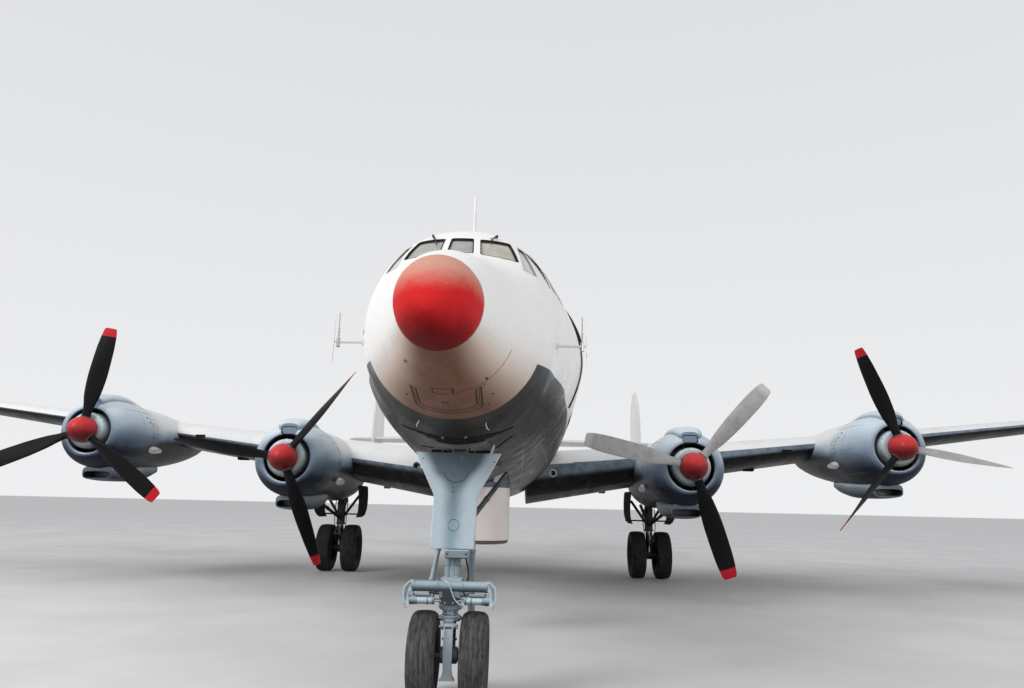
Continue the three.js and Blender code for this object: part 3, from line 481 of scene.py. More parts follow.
def tyre_finish(name, black, grey, pale):
    """Bald old rubber, brushed grey along the tread and scuffed in pale spots."""
    f = Finish(name)
    dust_and_reflection = f.band(f.noise(9.0, 6.0, 0.7), 0.38, 0.72)
    brushed = f.band(f.noise(14.0, 5.0, 0.7, (3.0, 0.35, 0.35)), 0.40, 0.70)
    scuff = f.band(f.noise(22.0, 6.0, 0.8), 0.66, 0.74)
    tone = f.mix(f.times(dust_and_reflection, 0.6), black, grey)
    tone = f.mix(f.times(brushed, 0.5), tone, pale)
    tone = f.mix(f.times(scuff, 0.55), tone, (0.30, 0.27, 0.25))
    f.bump(f.noise(55.0, 6.0, 0.7), 0.3, 0.002)
    return f.finish(tone, 0.8, specular=0.1)


def blade_finish(name, tip):
    """Black blades, rubbed grey in places, with a tip colour. The hub is at the object's own origin."""
    f = Finish(name)
    reach = f.node("ShaderNodeVectorMath", {0: f.place}, operation="LENGTH").outputs["Value"]
    rub = f.band(f.noise(7.0, 6.0, 0.75), 0.55, 0.85)
    black = f.mix(f.times(rub, 0.4), (0.007, 0.006, 0.007), (0.038, 0.036, 0.038))
    tone = f.mix(f.band(reach, 2.12, 2.125), black, tip)
    f.bump(f.noise(45.0, 4.0), 0.15, 0.001)
    return f.finish(tone, f.band(rub, 0.0, 1.0, 0.45, 0.65), specular=0.09)


def glass_finish():
    """Old acrylic: dusty panes whose tones are painted reflections, beige on the port side, grey in the
    middle and pale at the corners.
    """
    f = Finish("dusty_glazing_with_reflection")
    dust_and_reflection = f.band(f.noise(4.0, 5.0, 0.6), 0.3, 0.75)
    grey = f.mix(dust_and_reflection, (0.27, 0.28, 0.265), (0.36, 0.365, 0.34))
    beige = f.mix(dust_and_reflection, (0.38, 0.36, 0.27), (0.47, 0.44, 0.35))
    corner = f.mix(dust_and_reflection, (0.50, 0.51, 0.50), (0.60, 0.60, 0.585))
    # Painted reflections: each pane's tone, beige to port, grey in the middle, pale on the corner panes
    tone = f.mix(f.band(f.x, 0.14, 0.19), grey, beige)
    tone = f.mix(f.band(f.x, -0.14, -0.19), tone, f.mix(0.3, grey, beige))
    tone = f.mix(f.band(f.math("ABSOLUTE", f.x), 0.60, 0.64), tone, corner)
    f.put(f.shader.inputs["Transmission Weight"], f.band(dust_and_reflection, 0.0, 1.0, 0.12, 0.05))
    f.shader.inputs["IOR"].default_value = 1.49
    return f.finish(tone, f.band(dust_and_reflection, 0.0, 1.0, 0.16, 0.32), coat=0.3)


def cowl_finish():
    """Blue grey with painted light that pales it on top and painted shade that makes it nearly navy below,
    its rear white above and dark brown below.
    """
    f = Finish("cowl_blue_grey")
    cloud = f.band(f.noise(1.2, 6.0, 0.6, (1, 0.3, 1)), 0.38, 0.75)
    # Painted light and shade: pale blue grey where the cowl faces up, nearly navy where it faces down
    facing = f.plus(f.normal[2], f.times(f.math("SUBTRACT", cloud, 0.5), 0.2))
    side = f.mix(f.band(facing, -0.20, 0.62), (0.185, 0.245, 0.320), (0.60, 0.68, 0.735))
    tone = f.mix(f.band(facing, 0.06, -0.58), side, (0.012, 0.016, 0.026))
    rear = f.band(f.y, 1.35, 2.4)
    white = f.times(rear, f.band(facing, 0.05, 0.50))
    tone = f.mix(f.times(white, 0.9), tone, (0.77, 0.76, 0.74))
    brown = f.times(rear, f.band(facing, 0.10, -0.30))
    tone = f.mix(f.times(brown, 0.95), tone, (0.013, 0.009, 0.0075))
    tone = f.mix(f.band(f.z, -0.66, -1.02, 0.0, 0.8), tone, (0.040, 0.052, 0.068))
    f.bump(f.noise(60.0, 3.0), 0.08, 0.001)
    return f.finish(tone, f.band(cloud, 0.0, 1.0, 0.36, 0.55), specular=0.12)


hull_paint = hull_finish()
radome_red = radome_finish()
tyre_dark = tyre_finish("tyre_dark_rubber", (0.014, 0.0125, 0.013), (0.038, 0.033, 0.032),
                        (0.062, 0.055, 0.053))
tyre_grey = tyre_finish("tyre_grey_rubber", (0.030, 0.030, 0.031), (0.095, 0.092, 0.092),
                        (0.165, 0.160, 0.162))
blade_black = blade_finish("blade_black", (0.46, 0.014, 0.022))
blade_sooty = blade_finish("blade_sooty", (0.014, 0.012, 0.012))
dusty_glass_with_reflection = glass_finish()
wing_white = paint_finish("wing_white", (0.76, 0.76, 0.75), (0.52, 0.50, 0.46), stretch=(1, 0.25, 1),
                          share=0.45)
under_grey = paint_finish("under_grey", (0.17, 0.175, 0.18), (0.075, 0.068, 0.060), stretch=(1, 0.2, 1),
                          share=0.7)
cowl_paint = cowl_finish()
# The gear paints and the spinner's red carry painted light above and painted shade below
gear_paint = light_and_shade_paint("gear_blue_grey", (0.38, 0.47, 0.52), (0.030, 0.048, 0.062), (0.07, 0.085, 0.09),
                       share=0.45, turn=(-0.62, 0.72), specular=0.3)
gear_dark = light_and_shade_paint("gear_dark_grey", (0.050, 0.057, 0.066), (0.012, 0.014, 0.018), (0.06, 0.05, 0.042),
                      (0.4, 0.7), 0.4, 4.0, specular=0.15)
spinner_red = light_and_shade_paint("spinner_red", (0.60, 0.036, 0.038), (0.085, 0.002, 0.004), (0.34, 0.03, 0.03),
                        (0.40, 0.55), 0.25, turn=(-0.75, 0.75), coat=0.03, specular=0.2)
boot_rubber = paint_finish("boot_rubber", (0.022, 0.023, 0.025), (0.06, 0.058, 0.054), (0.6, 0.8),
                           share=0.5, scale=2.5, specular=0.15)
line_dark = paint_finish("seam_dark", (0.16, 0.155, 0.15), (0.07, 0.065, 0.06), (0.6, 0.8), share=0.5)
line_soft = paint_finish("seam_pale", (0.60, 0.59, 0.57), (0.44, 0.43, 0.41), (0.5, 0.7), share=0.5)
sealant_and_shade = paint_finish("window_sealant_and_shade", (0.024, 0.020, 0.018), (0.07, 0.052, 0.043), (0.7, 0.9), share=0.5,
                       scale=8.0, specular=0.1)
black_and_shade = paint_finish("inner_black_and_shade", (0.012, 0.012, 0.013), (0.030, 0.027, 0.025), (0.8, 0.95),
                          share=0.5, specular=0.08)
well_dark = paint_finish("well_dark", (0.018, 0.020, 0.022), (0.034, 0.029, 0.024), (0.7, 0.9), share=0.5,
                         scale=3.0, specular=0.1)
cabin_green = paint_finish("cabin_liner", (0.24, 0.26, 0.22), (0.15, 0.15, 0.12), (0.6, 0.8), share=0.4,
                           scale=3.0)
deck_grey = paint_finish("deck_floor", (0.13, 0.13, 0.125), (0.06, 0.055, 0.05), (0.6, 0.85), share=0.6,
                         scale=3.0)
# The gear case's grey carries painted light above and painted shade below
case_grey = light_and_shade_paint("gear_case_grey", (0.60, 0.70, 0.74), (0.11, 0.12, 0.125), (0.24, 0.25, 0.25),
                      (0.35, 0.5), 0.3, 6.0, turn=(-0.55, 0.5))
metal_bare = paint_finish("bare_steel", (0.50, 0.50, 0.50), (0.28, 0.27, 0.26), (0.22, 0.42), metallic=1.0,
                          share=0.4, scale=8.0)
metal_dark = paint_finish("dark_iron", (0.085, 0.082, 0.080), (0.16, 0.13, 0.10), (0.35, 0.6), metallic=0.7,
                          share=0.5, scale=10.0)
exhaust_pale = paint_finish("exhaust_pale", (0.55, 0.55, 0.54), (0.30, 0.26, 0.22), (0.3, 0.5),
                            metallic=0.3, share=0.4, scale=6.0)
drum_white = paint_finish("drum_white", (0.66, 0.60, 0.58), (0.50, 0.42, 0.38), (0.35, 0.5), share=0.3,
                          scale=2.0, coat=0.2)
# The link's pale blue carries painted light above and painted shade below
link_pale = light_and_shade_paint("link_pale_blue", (0.50, 0.58, 0.62), (0.20, 0.26, 0.30), (0.16, 0.19, 0.20),
                      share=0.35, scale=5.0, turn=(-0.5, 0.3))
drum_band = paint_finish("drum_band", (0.055, 0.080, 0.105), (0.10, 0.11, 0.12), (0.3, 0.45), share=0.4,
                         scale=3.0)
rust_brown = paint_finish("rim_brown", (0.085, 0.048, 0.036), (0.17, 0.10, 0.075), (0.5, 0.8), share=0.5,
                          scale=6.0)


# Fuselage: a curve above and one below a waist line, at stations aft of the datum

RADOME_BACK, RADOME_TIP_HEIGHT, RADOME_POWER = 0.945, 3.221, 1.75
HULL_SIDES = 112
# columns: aft, waist height, half width, crown height, keel height, fullness above and below
HULL = np.array([
    [RADOME_BACK, 3.402, 0.353, 3.779, 3.022, 2.0, 2.0],
    [1.35, 3.470, 0.492, 3.985, 2.900, 2.0, 2.0],
    [1.9, 3.475, 0.692, 4.118, 2.755, 1.97, 2.0],
    [2.55, 3.520, 0.898, 4.352, 2.640, 1.97, 2.0],
    [3.0, 3.585, 1.015, 4.690, 2.541, 2.2, 1.97],
    [3.45, 3.645, 1.085, 4.935, 2.457, 2.2, 1.93],
    [4.2, 3.710, 1.250, 5.105, 2.333, 2.0, 1.86],
    [5.2, 3.820, 1.420, 5.243, 2.246, 1.95, 1.74],
    [6.5, 3.905, 1.570, 5.421, 2.157, 1.95, 1.67],
    [8.0, 3.930, 1.635, 5.501, 2.090, 1.97, 1.72],
    [10.0, 3.935, 1.690, 5.575, 2.055, 2.0, 1.8],
    [13.0, 3.905, 1.740, 5.600, 2.035, 2.0, 1.82],
    [17.0, 3.850, 1.765, 5.585, 2.035, 2.0, 1.86],
    [20.0, 3.860, 1.730, 5.570, 2.120, 2.0, 1.9],
    [24.0, 4.030, 1.480, 5.500, 2.560, 2.0, 2.0],
    [28.0, 4.330, 1.090, 5.370, 3.270, 2.0, 2.0],
    [31.0, 4.590, 0.740, 5.250, 3.870, 2.0, 2.0],
    [34.0, 4.850, 0.300, 5.100, 4.530, 2.0, 2.0],
    [35.65, 4.945, 0.060, 5.000, 4.890, 2.0, 2.0],
])


def along_table(table, column, at):
    """A smooth curve through the table's column that never overshoots."""
    places, values = table[:, 0], table[:, column]
    last = len(places) - 1
    i = int(np.clip(np.searchsorted(places, at, side="right") - 1, 0, last - 1))
    slopes = np.diff(values) / np.diff(places)

    def bend(k):
        if k in (0, last):
            return slopes[min(k, last - 1)]
        before, after = slopes[k - 1], slopes[k]
        return 0.0 if before * after <= 0 else 2 * before * after / (before + after)

    width = places[i + 1] - places[i]
    t = (at - places[i]) / width
    return ((2 * t ** 3 - 3 * t ** 2 + 1) * values[i] + (t ** 3 - 2 * t ** 2 + t) * width * bend(i)
            + (3 * t ** 2 - 2 * t ** 3) * values[i + 1] + (t ** 3 - t ** 2) * width * bend(i + 1))


def section(aft):
    return [along_table(HULL, column, max(aft, RADOME_BACK)) for column in range(1, 7)]


def hull_point(aft, angle, margin=0.0, shift=0.0):
    """A point of the skin, the angle running from the crown to the port side."""
    waist, half, crown, keel, above, below = section(aft)
    forward = max(0.0, (RADOME_BACK - aft) / (RADOME_BACK - NOSE_TIP_AFT))
    dome = math.sqrt(1 - forward ** RADOME_POWER)
    centre = waist + (RADOME_TIP_HEIGHT - waist) * (1 - dome)
    across, up = math.sin(angle), math.cos(angle)
    power = 2 / (above if up > 0 else below)
    reach = (crown - waist if up > 0 else waist - keel) * dome + margin
    return (math.copysign(abs(across) ** power, across) * (half * dome + margin), from_nose(aft + shift),
            centre + math.copysign(abs(up) ** power, up) * reach)


def hull_ring(aft, margin=0.0, shift=0.0, sides=HULL_SIDES):
    return [hull_point(aft, angle, margin, shift) for angle in turns(sides)]


def hull_loft(front, back, step, margin=0.0, shift=0.0, sides=HULL_SIDES):
    count = max(2, int(round((back - front) / step)) + 1)
    return loft([hull_ring(aft, margin, shift, sides) for aft in np.linspace(front, back, count)])


def side_of_hull(aft, z):
    """How far out the skin is at a height."""
    waist, half, crown, keel, above, below = section(aft)
    full, reach = (above, crown - waist) if z > waist else (below, waist - keel)
    share = min(1.0, abs(z - waist) / reach)
    return (1 - share ** full) ** (1 / full) * half


def belly_height(aft, x):
    waist, half, _, keel, _, below = section(aft)
    share = min(1.0, abs(x) / half)
    return waist - (1 - share ** below) ** (1 / below) * (waist - keel)


def under(x, aft):
    return (x, from_nose(aft), belly_height(aft, x))


def skin_level(x, aft, z):
    """Less than 1 inside the skin, 1 on it and more outside."""
    waist, half, crown, keel, above, below = section(aft)
    full, reach = (above, crown - waist) if z > waist else (below, waist - keel)
    return (abs(x) / half) ** full + (abs(z - waist) / reach) ** full


def skin_from_front(x, z):
    """The distance aft of the datum at which the skin first reaches a point seen from ahead."""
    low, high = RADOME_BACK, 6.0
    for _ in range(40):
        middle = (low + high) / 2
        if skin_level(x, middle, z) > 1:
            low = middle
        else:
            high = middle
    return high


def skin_normal(point):
    """Which way the skin faces at a point on it."""
    x, y, z = point
    aft, step = y - from_nose(0.0), 1e-3
    return Vector((skin_level(x + step, aft, z) - skin_level(x - step, aft, z),
                   skin_level(x, aft + step, z) - skin_level(x, aft - step, z),
                   skin_level(x, aft, z + step) - skin_level(x, aft, z - step))).normalized()


def skin_strip(points, width=0.008, height=0.0012, paint=0):
    return ribbon(points, [skin_normal(p) for p in points], width, height, paint)


def hoop(aft, steps=96):
    return [hull_point(aft, a) for a in np.linspace(0.0, 2 * math.pi, steps + 1)]


def side_line(side, front, back, z):
    return [(side * side_of_hull(aft, z), from_nose(aft), z) for aft in np.linspace(front, back, 60)]


def flipped(outline):
    return [(-a, b) for a, b in reversed(outline)]


def placed(outline):
    """An outline's points of (distance aft, height) as (Y, Z)."""
    return [(from_nose(aft), z) for aft, z in outline]


def closed_dense(outline, steps):
    """The outline's points with ones between them, back to the first."""
    dense = []
    for i in range(len(outline)):
        a, b = np.array(outline[i]), np.array(outline[(i + 1) % len(outline)])
        dense += [tuple(a + (b - a) * t) for t in np.linspace(0, 1, steps, endpoint=False)]
    return dense + dense[:1]


# Nose radome, with a ring of screws and a fine bead where it meets the nose cone

RADOME_SCREWS = 26
radome = Shape()
radome_steps = [RADOME_BACK - (RADOME_BACK - NOSE_TIP_AFT) * math.cos(t * math.pi / 2)
                for t in np.linspace(0.03, 1.0, 40)]
rings = [hull_ring(aft) for aft in radome_steps]
radome.join(loft(rings, caps=(False, True)))
radome.add([(0.0, from_nose(NOSE_TIP_AFT), RADOME_TIP_HEIGHT)] + rings[0],
           [(0, k + 1, (k + 1) % HULL_SIDES + 1) for k in range(HULL_SIDES)])
for angle in turns(RADOME_SCREWS, 0.5):
    spot = Vector(hull_point(0.932, angle))
    out = skin_normal(hull_point(0.96, angle))
    radome.join(rod(spot - out * 0.004, spot + out * 0.0015, 0.006, 8, paint=1))
radome.join(skin_strip(hoop(0.950, steps=HULL_SIDES), 0.006, 0.001, paint=1))
piece(radome, "radome_shell", [radome_red, rust_brown], slot="red_paint", replaces="nose_radome")

# Nose cone with its seams, and the hatch under it

piece(hull_loft(RADOME_BACK, 2.25, 0.06), "nose_cone_skin", [hull_paint], replaces="nose_cone")


def u_line(half, front, back, corner):
    """A U under the nose, open ahead: two sides that run aft to a rounded rear edge."""
    side = [(half, front), (half, back - corner)]
    side += [(half - corner * (1 - math.cos(t)), back - corner + corner * math.sin(t))
             for t in np.linspace(0, math.pi / 2, 8)]
    found = [(-x, aft) for x, aft in side] + list(reversed(side))
    dense = []
    for (x0, a0), (x1, a1) in zip(found[:-1], found[1:]):
        dense += [(x0 + (x1 - x0) * t, a0 + (a1 - a0) * t) for t in np.linspace(0, 1, 6, endpoint=False)]
    return [under(x, aft) for x, aft in dense + [found[-1]]]


hatch = Shape()
for half, back, corner, width in ((0.308, 2.240, 0.075, 0.016), (0.288, 2.190, 0.070, 0.007),
                                  (0.262, 2.135, 0.065, 0.015)):
    hatch.join(skin_strip(u_line(half, 1.755, back, corner), width, 0.001))
for left, right in ((-0.31, -0.26), (0.26, 0.31)):
    hatch.join(skin_strip([under(x, 1.745) for x in np.linspace(left, right, 6)], 0.008, 0.001))
for x, aft in ((-0.030, 1.925), (0.004, 1.925), (-0.37, 2.02), (0.36, 2.21), (0.40, 2.02)):
    spot = Vector(under(x, aft))
    hatch.join(rod(spot + Vector((0, 0, 0.01)), spot - Vector((0, 0, 0.003)), 0.013, 12))
frame_line = rounded([(-0.106, 1.615), (0.075, 1.615), (0.075, 1.715), (-0.106, 1.715)], 0.012)
hatch.join(skin_strip([under(x, aft) for x, aft in closed_dense(frame_line, 4)], 0.009, 0.001))
hatch.join(skin_strip([under(0.06 + 0.01 * t, 1.71 - 0.10 * t) for t in np.linspace(0, 1, 6)], 0.005,
                      0.001))
port_seam = [hull_point(1.705, a) for a in np.linspace(math.pi - 0.10, math.pi / 2 + 0.42, 30)]
hatch.join(skin_strip(port_seam, 0.006, 0.001))
margin = Vector((0.012, 0.012, 0.012))
hatch.join(slab(Vector(under(0.359, 1.66)) - margin, Vector(under(0.359, 1.70)) + margin, 0.003))
piece(hatch, "nose_hatch_lines", [sealant_and_shade])

# Flight deck shell: a hollow skin with windows, and the nose wheel's well under it

WALL = 0.045
DECK = 3.3
CENTRE_PANE = [(-0.135, 4.40), (-0.118, 4.682), (0.112, 4.682), (0.135, 4.40)]
FRONT_PANE = [(0.215, 4.39), (0.19, 4.672), (0.50, 4.702), (0.56, 4.52), (0.606, 4.37)]
CORNER_PANE = [(0.575, 4.683), (0.66, 4.642), (0.81, 4.232), (0.66, 4.262)]
MIDDLE_PANES = [CENTRE_PANE, FRONT_PANE, flipped(FRONT_PANE)]
CORNER_PANES = [CORNER_PANE, flipped(CORNER_PANE)]
SIDE_PANES = [
    [(3.47, 4.26), (3.355, 4.60), (3.44, 4.685), (3.80, 4.70), (3.80, 4.28)],
    [(3.90, 4.29), (3.90, 4.70), (4.25, 4.69), (4.33, 4.60), (4.33, 4.30)],
]
DOORWAY = rounded([(8.0, DECK), (8.0, 5.12), (9.2, 5.12), (9.2, DECK)], 0.13, 7)


def shrunk(outline, inset):
    """The outline with its corners pulled in a little."""
    middle = np.mean(outline, axis=0)
    away = [np.array(p) - middle for p in outline]
    return [tuple(middle + d * (1 - inset / np.linalg.norm(d))) for d in away]


def pane_tools(inset=0.0):
    """The cuts of the front panes, and those of the side panes, which would cross them."""
    front, side = Shape(), Shape()
    for paint, outlines in enumerate((MIDDLE_PANES, CORNER_PANES)):
        for outline in outlines:
            line = rounded(shrunk(outline, inset), 0.022, 3)
            front.join(prism(line, "Y", from_nose(2.4), from_nose(3.48), paint))
    for outline in SIDE_PANES:
        line = rounded(placed(shrunk(outline, inset)), 0.03, 3)
        for low, high in ((0.55, 1.5), (-1.5, -0.55)):
            side.join(prism(line, "X", low, high, 1))
    return [object_from(made, "pane_tool", [sealant_and_shade, line_soft]) for made in (front, side)]


def hollow_tool():
    """The inside of the flight deck and the cabin above the deck."""
    hollow = object_from(hull_loft(2.57, 9.63, 0.1, -WALL, WALL, sides=72), "hollow_tool", [cabin_green])
    return cut(hollow, slab((-2.5, from_nose(2.0), 0.0), (2.5, from_nose(11.0), DECK)), deck_grey)


well_half = [(0, 3.56), (0.15, 3.585), (0.26, 3.665), (0.33, 3.765), (0.345, 3.87), (0.345, 4.9)]
well_outline = [(x, from_nose(aft)) for x, aft in flipped(well_half)[:-1] + well_half]
shell = object_from(hull_loft(2.25, 5.6, 0.07), "flight_deck_skin", [hull_paint])
boolean(shell, hollow_tool())
cut(shell, prism(well_outline, "Z", 2.0, 3.19), well_dark)
for tool in pane_tools():
    boolean(shell, tool)
piece(resharpen(shell), "flight_deck_skin", None, replaces="flight_deck_shell")

forward = object_from(hull_loft(5.6, 10.0, 0.2), "forward_skin", [hull_paint])
boolean(forward, hollow_tool())
cut(forward, prism(placed(DOORWAY), "X", 0.7, 2.2), gear_dark)
piece(resharpen(forward), "forward_skin", None, replaces="forward_fuselage")
piece(hull_loft(10.0, 20.0, 0.35), "centre_skin", [hull_paint], replaces="centre_fuselage")
piece(hull_loft(20.0, 28.0, 0.35), "rear_skin", [hull_paint], replaces="rear_fuselage")
cone = hull_loft(28.0, 35.65, 0.3)
cone.add([(0, from_nose(35.76), 4.950)] + hull_ring(35.65),
         [(0, (k + 1) % HULL_SIDES + 1, k + 1) for k in range(HULL_SIDES)])
piece(cone, "tail_cone_skin", [hull_paint], replaces="tail_cone")

# Glazing: curved panes set a little into the skin

PANE_OUT, PANE_IN = 0.013, 0.021
glazing = Shape()
for number in range(2):
    outer = hull_loft(2.57, 4.6, 0.07, -PANE_OUT, PANE_OUT, sides=96)
    band = object_from(outer, "glazing_band", [dusty_glass_with_reflection])
    cut(band, hull_loft(2.50, 4.75, 0.07, -PANE_IN, PANE_IN, sides=96), dusty_glass_with_reflection)
    tools = pane_tools(0.003)
    boolean(band, tools.pop(number), "INTERSECT")
    remove(tools.pop())
    glazing.join(shape_of(band), paint=0)
piece(glazing, "glazing_panes", [dusty_glass_with_reflection], slot="glazing", replaces="cockpit_glazing")


def on_front(x, z, lift=0.0):
    point = Vector((x, from_nose(skin_from_front(x, z)), z))
    return point + skin_normal(point) * lift


def on_side(side, aft, z, lift=0.0):
    point = Vector((side * side_of_hull(aft, z), from_nose(aft), z))
    return point + skin_normal(point) * lift


# Seals around the panes, and dark strips on the glass: painted shade along their edges

SHADE_LIFT = -0.011
seals = Shape()
for paint, outlines in enumerate((MIDDLE_PANES, CORNER_PANES)):
    for outline in outlines:
        line = closed_dense(rounded(outline, 0.022, 3), 3)
        seals.join(skin_strip([on_front(x, z) for x, z in line], 0.011, 0.002, paint))
for outline in SIDE_PANES:
    for side in (1, -1):
        line = closed_dense(rounded(outline, 0.03, 3), 3)
        seals.join(skin_strip([on_side(side, a, z) for a, z in line], 0.012, 0.002, paint=1))
top_shade = [(0.193, 4.656), (0.30, 4.664), (0.40, 4.674), (0.496, 4.684)]
outer_shade = [(0.494, 4.69), (0.524, 4.61), (0.552, 4.52), (0.596, 4.385)]
for line, width in ((top_shade, 0.040), (outer_shade, 0.016), ([(-x, z) for x, z in top_shade], 0.040),
                    ([(-x, z) for x, z in outer_shade], 0.016), ([(0.584, 4.676), (0.652, 4.634)], 0.016),
                    ([(x, 4.667) for x in np.linspace(-0.114, 0.108, 6)], 0.030),
                    ([(-0.120, 4.68), (-0.133, 4.41)], 0.012), ([(0.114, 4.68), (0.133, 4.41)], 0.012)):
    seals.join(skin_strip([on_front(x, z, SHADE_LIFT) for x, z in line], width, 0.002))
bead = [(3.25, 4.615), (3.22, 4.53), (3.21, 4.44), (3.22, 4.33), (3.28, 4.22)]
bead_radii = [0.004, *np.linspace(0.010, 0.019, 10), *np.linspace(0.018, 0.006, 9), 0.004]
seals.join(tube(smooth_path([on_side(1, a, z, 0.001) for a, z in bead], 5), bead_radii, 8))
piece(seals, "pane_seals", [sealant_and_shade, line_soft])

# Wipers on the two front panes

wipers = Shape()
for line, radii in (([(-0.345, 4.752), (-0.325, 4.705), (-0.295, 4.63), (-0.258, 4.535)],
                     [0.014, 0.011, 0.008, 0.005]),
                    ([(0.352, 4.772), (0.338, 4.742), (0.31, 4.67), (0.292, 4.60)],
                     [0.015, 0.011, 0.005, 0.004])):
    base = on_front(*line[0])
    out = skin_normal(base)
    wipers.join(rod(base - out * 0.02, base + out * 0.028, 0.011, 12))
    wipers.join(tube([on_front(x, z, 0.024) for x, z in line], radii, 10))
    x, z = line[-2]
    blade = [on_front(x + d * 0.35, z - d, 0.014) for d in (-0.05, 0.0, 0.05)]
    wipers.join(tube(blade, 0.004, 8, squash=1.6))
piece(wipers, "wipers", [boot_rubber], slot="black_paint")

# Flight deck furniture

panel = prism(placed([(2.99, 3.301), (2.99, 4.23), (3.14, 4.32), (3.20, 4.32), (3.20, 3.9), (3.12, 3.301)]),
              "X", -0.56, 0.56)
for x in np.linspace(-0.46, 0.46, 9):
    for z in (3.98, 4.1, 4.22):
        panel.join(rod((x, from_nose(3.195), z), (x, from_nose(3.206), z), 0.042, 20, paint=1))
piece(panel, "instrument_panel_front", [black_and_shade, metal_dark], slot="black_paint",
      replaces="instrument_panel")

seats = Shape()
for x in (-0.43, 0.43):
    seats.join(slab((x - 0.09, from_nose(3.72), 3.302), (x + 0.09, from_nose(3.92), 3.64), 0.01, paint=1))
    seats.join(slab((x - 0.23, from_nose(3.56), 3.60), (x + 0.23, from_nose(4.06), 3.72), 0.03))
    seat_back = rounded(placed([(3.98, 3.68), (4.09, 4.4), (4.19, 4.4), (4.11, 3.64)]), 0.03)
    seats.join(prism(seat_back, "X", x - 0.22, x + 0.22))
seats.join(slab((-0.7, from_nose(3.65), 3.301), (0.7, from_nose(4.0), 3.32), 0.003, paint=1))
piece(seats, "pilot_seat_pads", [gear_dark, metal_dark], slot="seat_fabric", replaces="pilot_seats")

leaf = object_from(hull_loft(6.2, 8.4, 0.15, -0.082, 0.082, sides=96), "door_leaf_panel", [gear_paint])
cut(leaf, hull_loft(6.1, 8.5, 0.15, -0.127, 0.127, sides=96), gear_dark)
leaf_outline = rounded(placed([(6.755, 3.31), (6.755, 5.10), (7.925, 5.10), (7.925, 3.31)]), 0.13, 7)
cut(leaf, prism(leaf_outline, "X", 0.7, 2.2), gear_dark, "INTERSECT")
piece(resharpen(leaf), "door_leaf_panel", None, slot="grey_paint", replaces="forward_door_leaf")

# Door frame, cabin windows, closed rear doors and the skin's seams


def outline_on_side(side, outline, width, height=0.002, paint=0):
    dense = closed_dense(outline, 5)
    return skin_strip([on_side(side, a, z) for a, z in dense], width, height, paint)


frames = Shape()
FRAME = 0.03
door_frame = [(a + (FRAME if a > 8.6 else -FRAME), z + (FRAME if z > 4 else -FRAME)) for a, z in DOORWAY]
frames.join(outline_on_side(1, door_frame, FRAME, 0.004, paint=1))
WINDOW_LOW, WINDOW_HIGH = 4.18, 4.60
for side in SIDES.values():
    for aft in (6.35, 7.25, 10.3, 11.9, 13.5, 15.1, 16.7, 18.3, 19.9, 21.5):
        if side == 1 and 5.8 < aft < 10.1:
            continue
        front, rear = aft - 0.17, aft + 0.17
        pane = rounded([(front, WINDOW_LOW), (rear, WINDOW_LOW), (rear, WINDOW_HIGH), (front, WINDOW_HIGH)],
                       0.08)
        frames.join(outline_on_side(side, pane, 0.024, 0.004))
        edge = [on_side(side, a, z, 0.0012) for a, z in pane]
        back = [on_side(side, a, z, -0.02) for a, z in pane]
        frames.join(loft([back, edge], paint=2))
for front, rear, sill, top, corner in ((22.4, 23.35, 3.45, 5.05, 0.1), (17.0, 19.7, 3.2, 5.0, 0.12)):
    door = rounded([(front, sill), (front, top), (rear, top), (rear, sill)], corner, 6)
    frames.join(outline_on_side(1, door, 0.012))
piece(frames, "skin_frames", [line_dark, rust_brown, boot_rubber], slot="black_paint")

seams = Shape()
for aft in (5.6, 7.25, 10.0, 12.2, 14.6, 17.0, 20.0, 22.0, 24.0, 26.0, 28.0, 30.0, 32.3):
    seams.join(skin_strip(hoop(aft), 0.005, 0.0009))
for side in SIDES.values():
    for front, back, z in ((4.6, 9.9, 4.95), (5.6, 7.9, 3.28), (9.3, 24.0, 3.28), (9.9, 27.5, 4.95),
                           (5.7, 20.0, 2.7)):
        seams.join(skin_strip(side_line(side, front, back, z), 0.0045, 0.0009))
for x in (-0.7, 0.7):
    seams.join(skin_strip([under(x, a) for a in np.linspace(5.0, 9.5, 50)], 0.0045, 0.0009))
piece(seams, "skin_seams", [line_soft])

# A dark strip down the port side, painted shade along the skin's edge, which thickens on its way down and
# goes on thinner below

shade_strip = Shape()
upper_radii = [*np.linspace(0.012, 0.050, 13), 0.044, 0.034, 0.020]
for top, low, steps, radii, paint in ((4.86, 4.06, 16, upper_radii, 0), (4.08, 3.52, 14, 0.025, 1),
                                      (3.54, 3.24, 8, 0.022, 0)):
    shade_strip.join(tube([on_side(1, 5.9, z) for z in np.linspace(top, low, steps)], radii, paint=paint))
piece(shade_strip, "side_shade_strip", [sealant_and_shade, rust_brown], slot="black_paint")

# The well's rim: dark bands of painted shade in front of the opening, a grey one, two dark ticks of painted
# shade at its corners, and two hooks

rim_and_shade = Shape()
arc = smooth_path([(-0.62, 3.415), (-0.434, 3.155), (-0.277, 3.085), (-0.119, 3.075), (0.016, 3.075),
                   (0.192, 3.075), (0.345, 3.105), (0.477, 3.205), (0.58, 3.285)], 6)
for line, back, width, height, paint in (
        (arc, 0.0, 0.026, 0.006, 0), (arc[6:-6], 0.020, 0.060, 0.006, 0),
        (arc[10:-10], 0.050, 0.120, 0.006, 0),
        (arc[14:-14], 0.090, 0.200, 0.006, 0), (arc[14:-14], 0.300, 0.180, 0.004, 1),
        ([(0.40, 3.745), (0.46, 3.675), (0.52, 3.635), (0.57, 3.615)], 0.0, 0.022, 0.005, 0),
        ([(-0.44, 3.79), (-0.38, 3.725), (-0.30, 3.66)], 0.0, 0.018, 0.005, 0)):
    rim_and_shade.join(skin_strip([under(x, aft + back) for x, aft in line], width, height, paint))
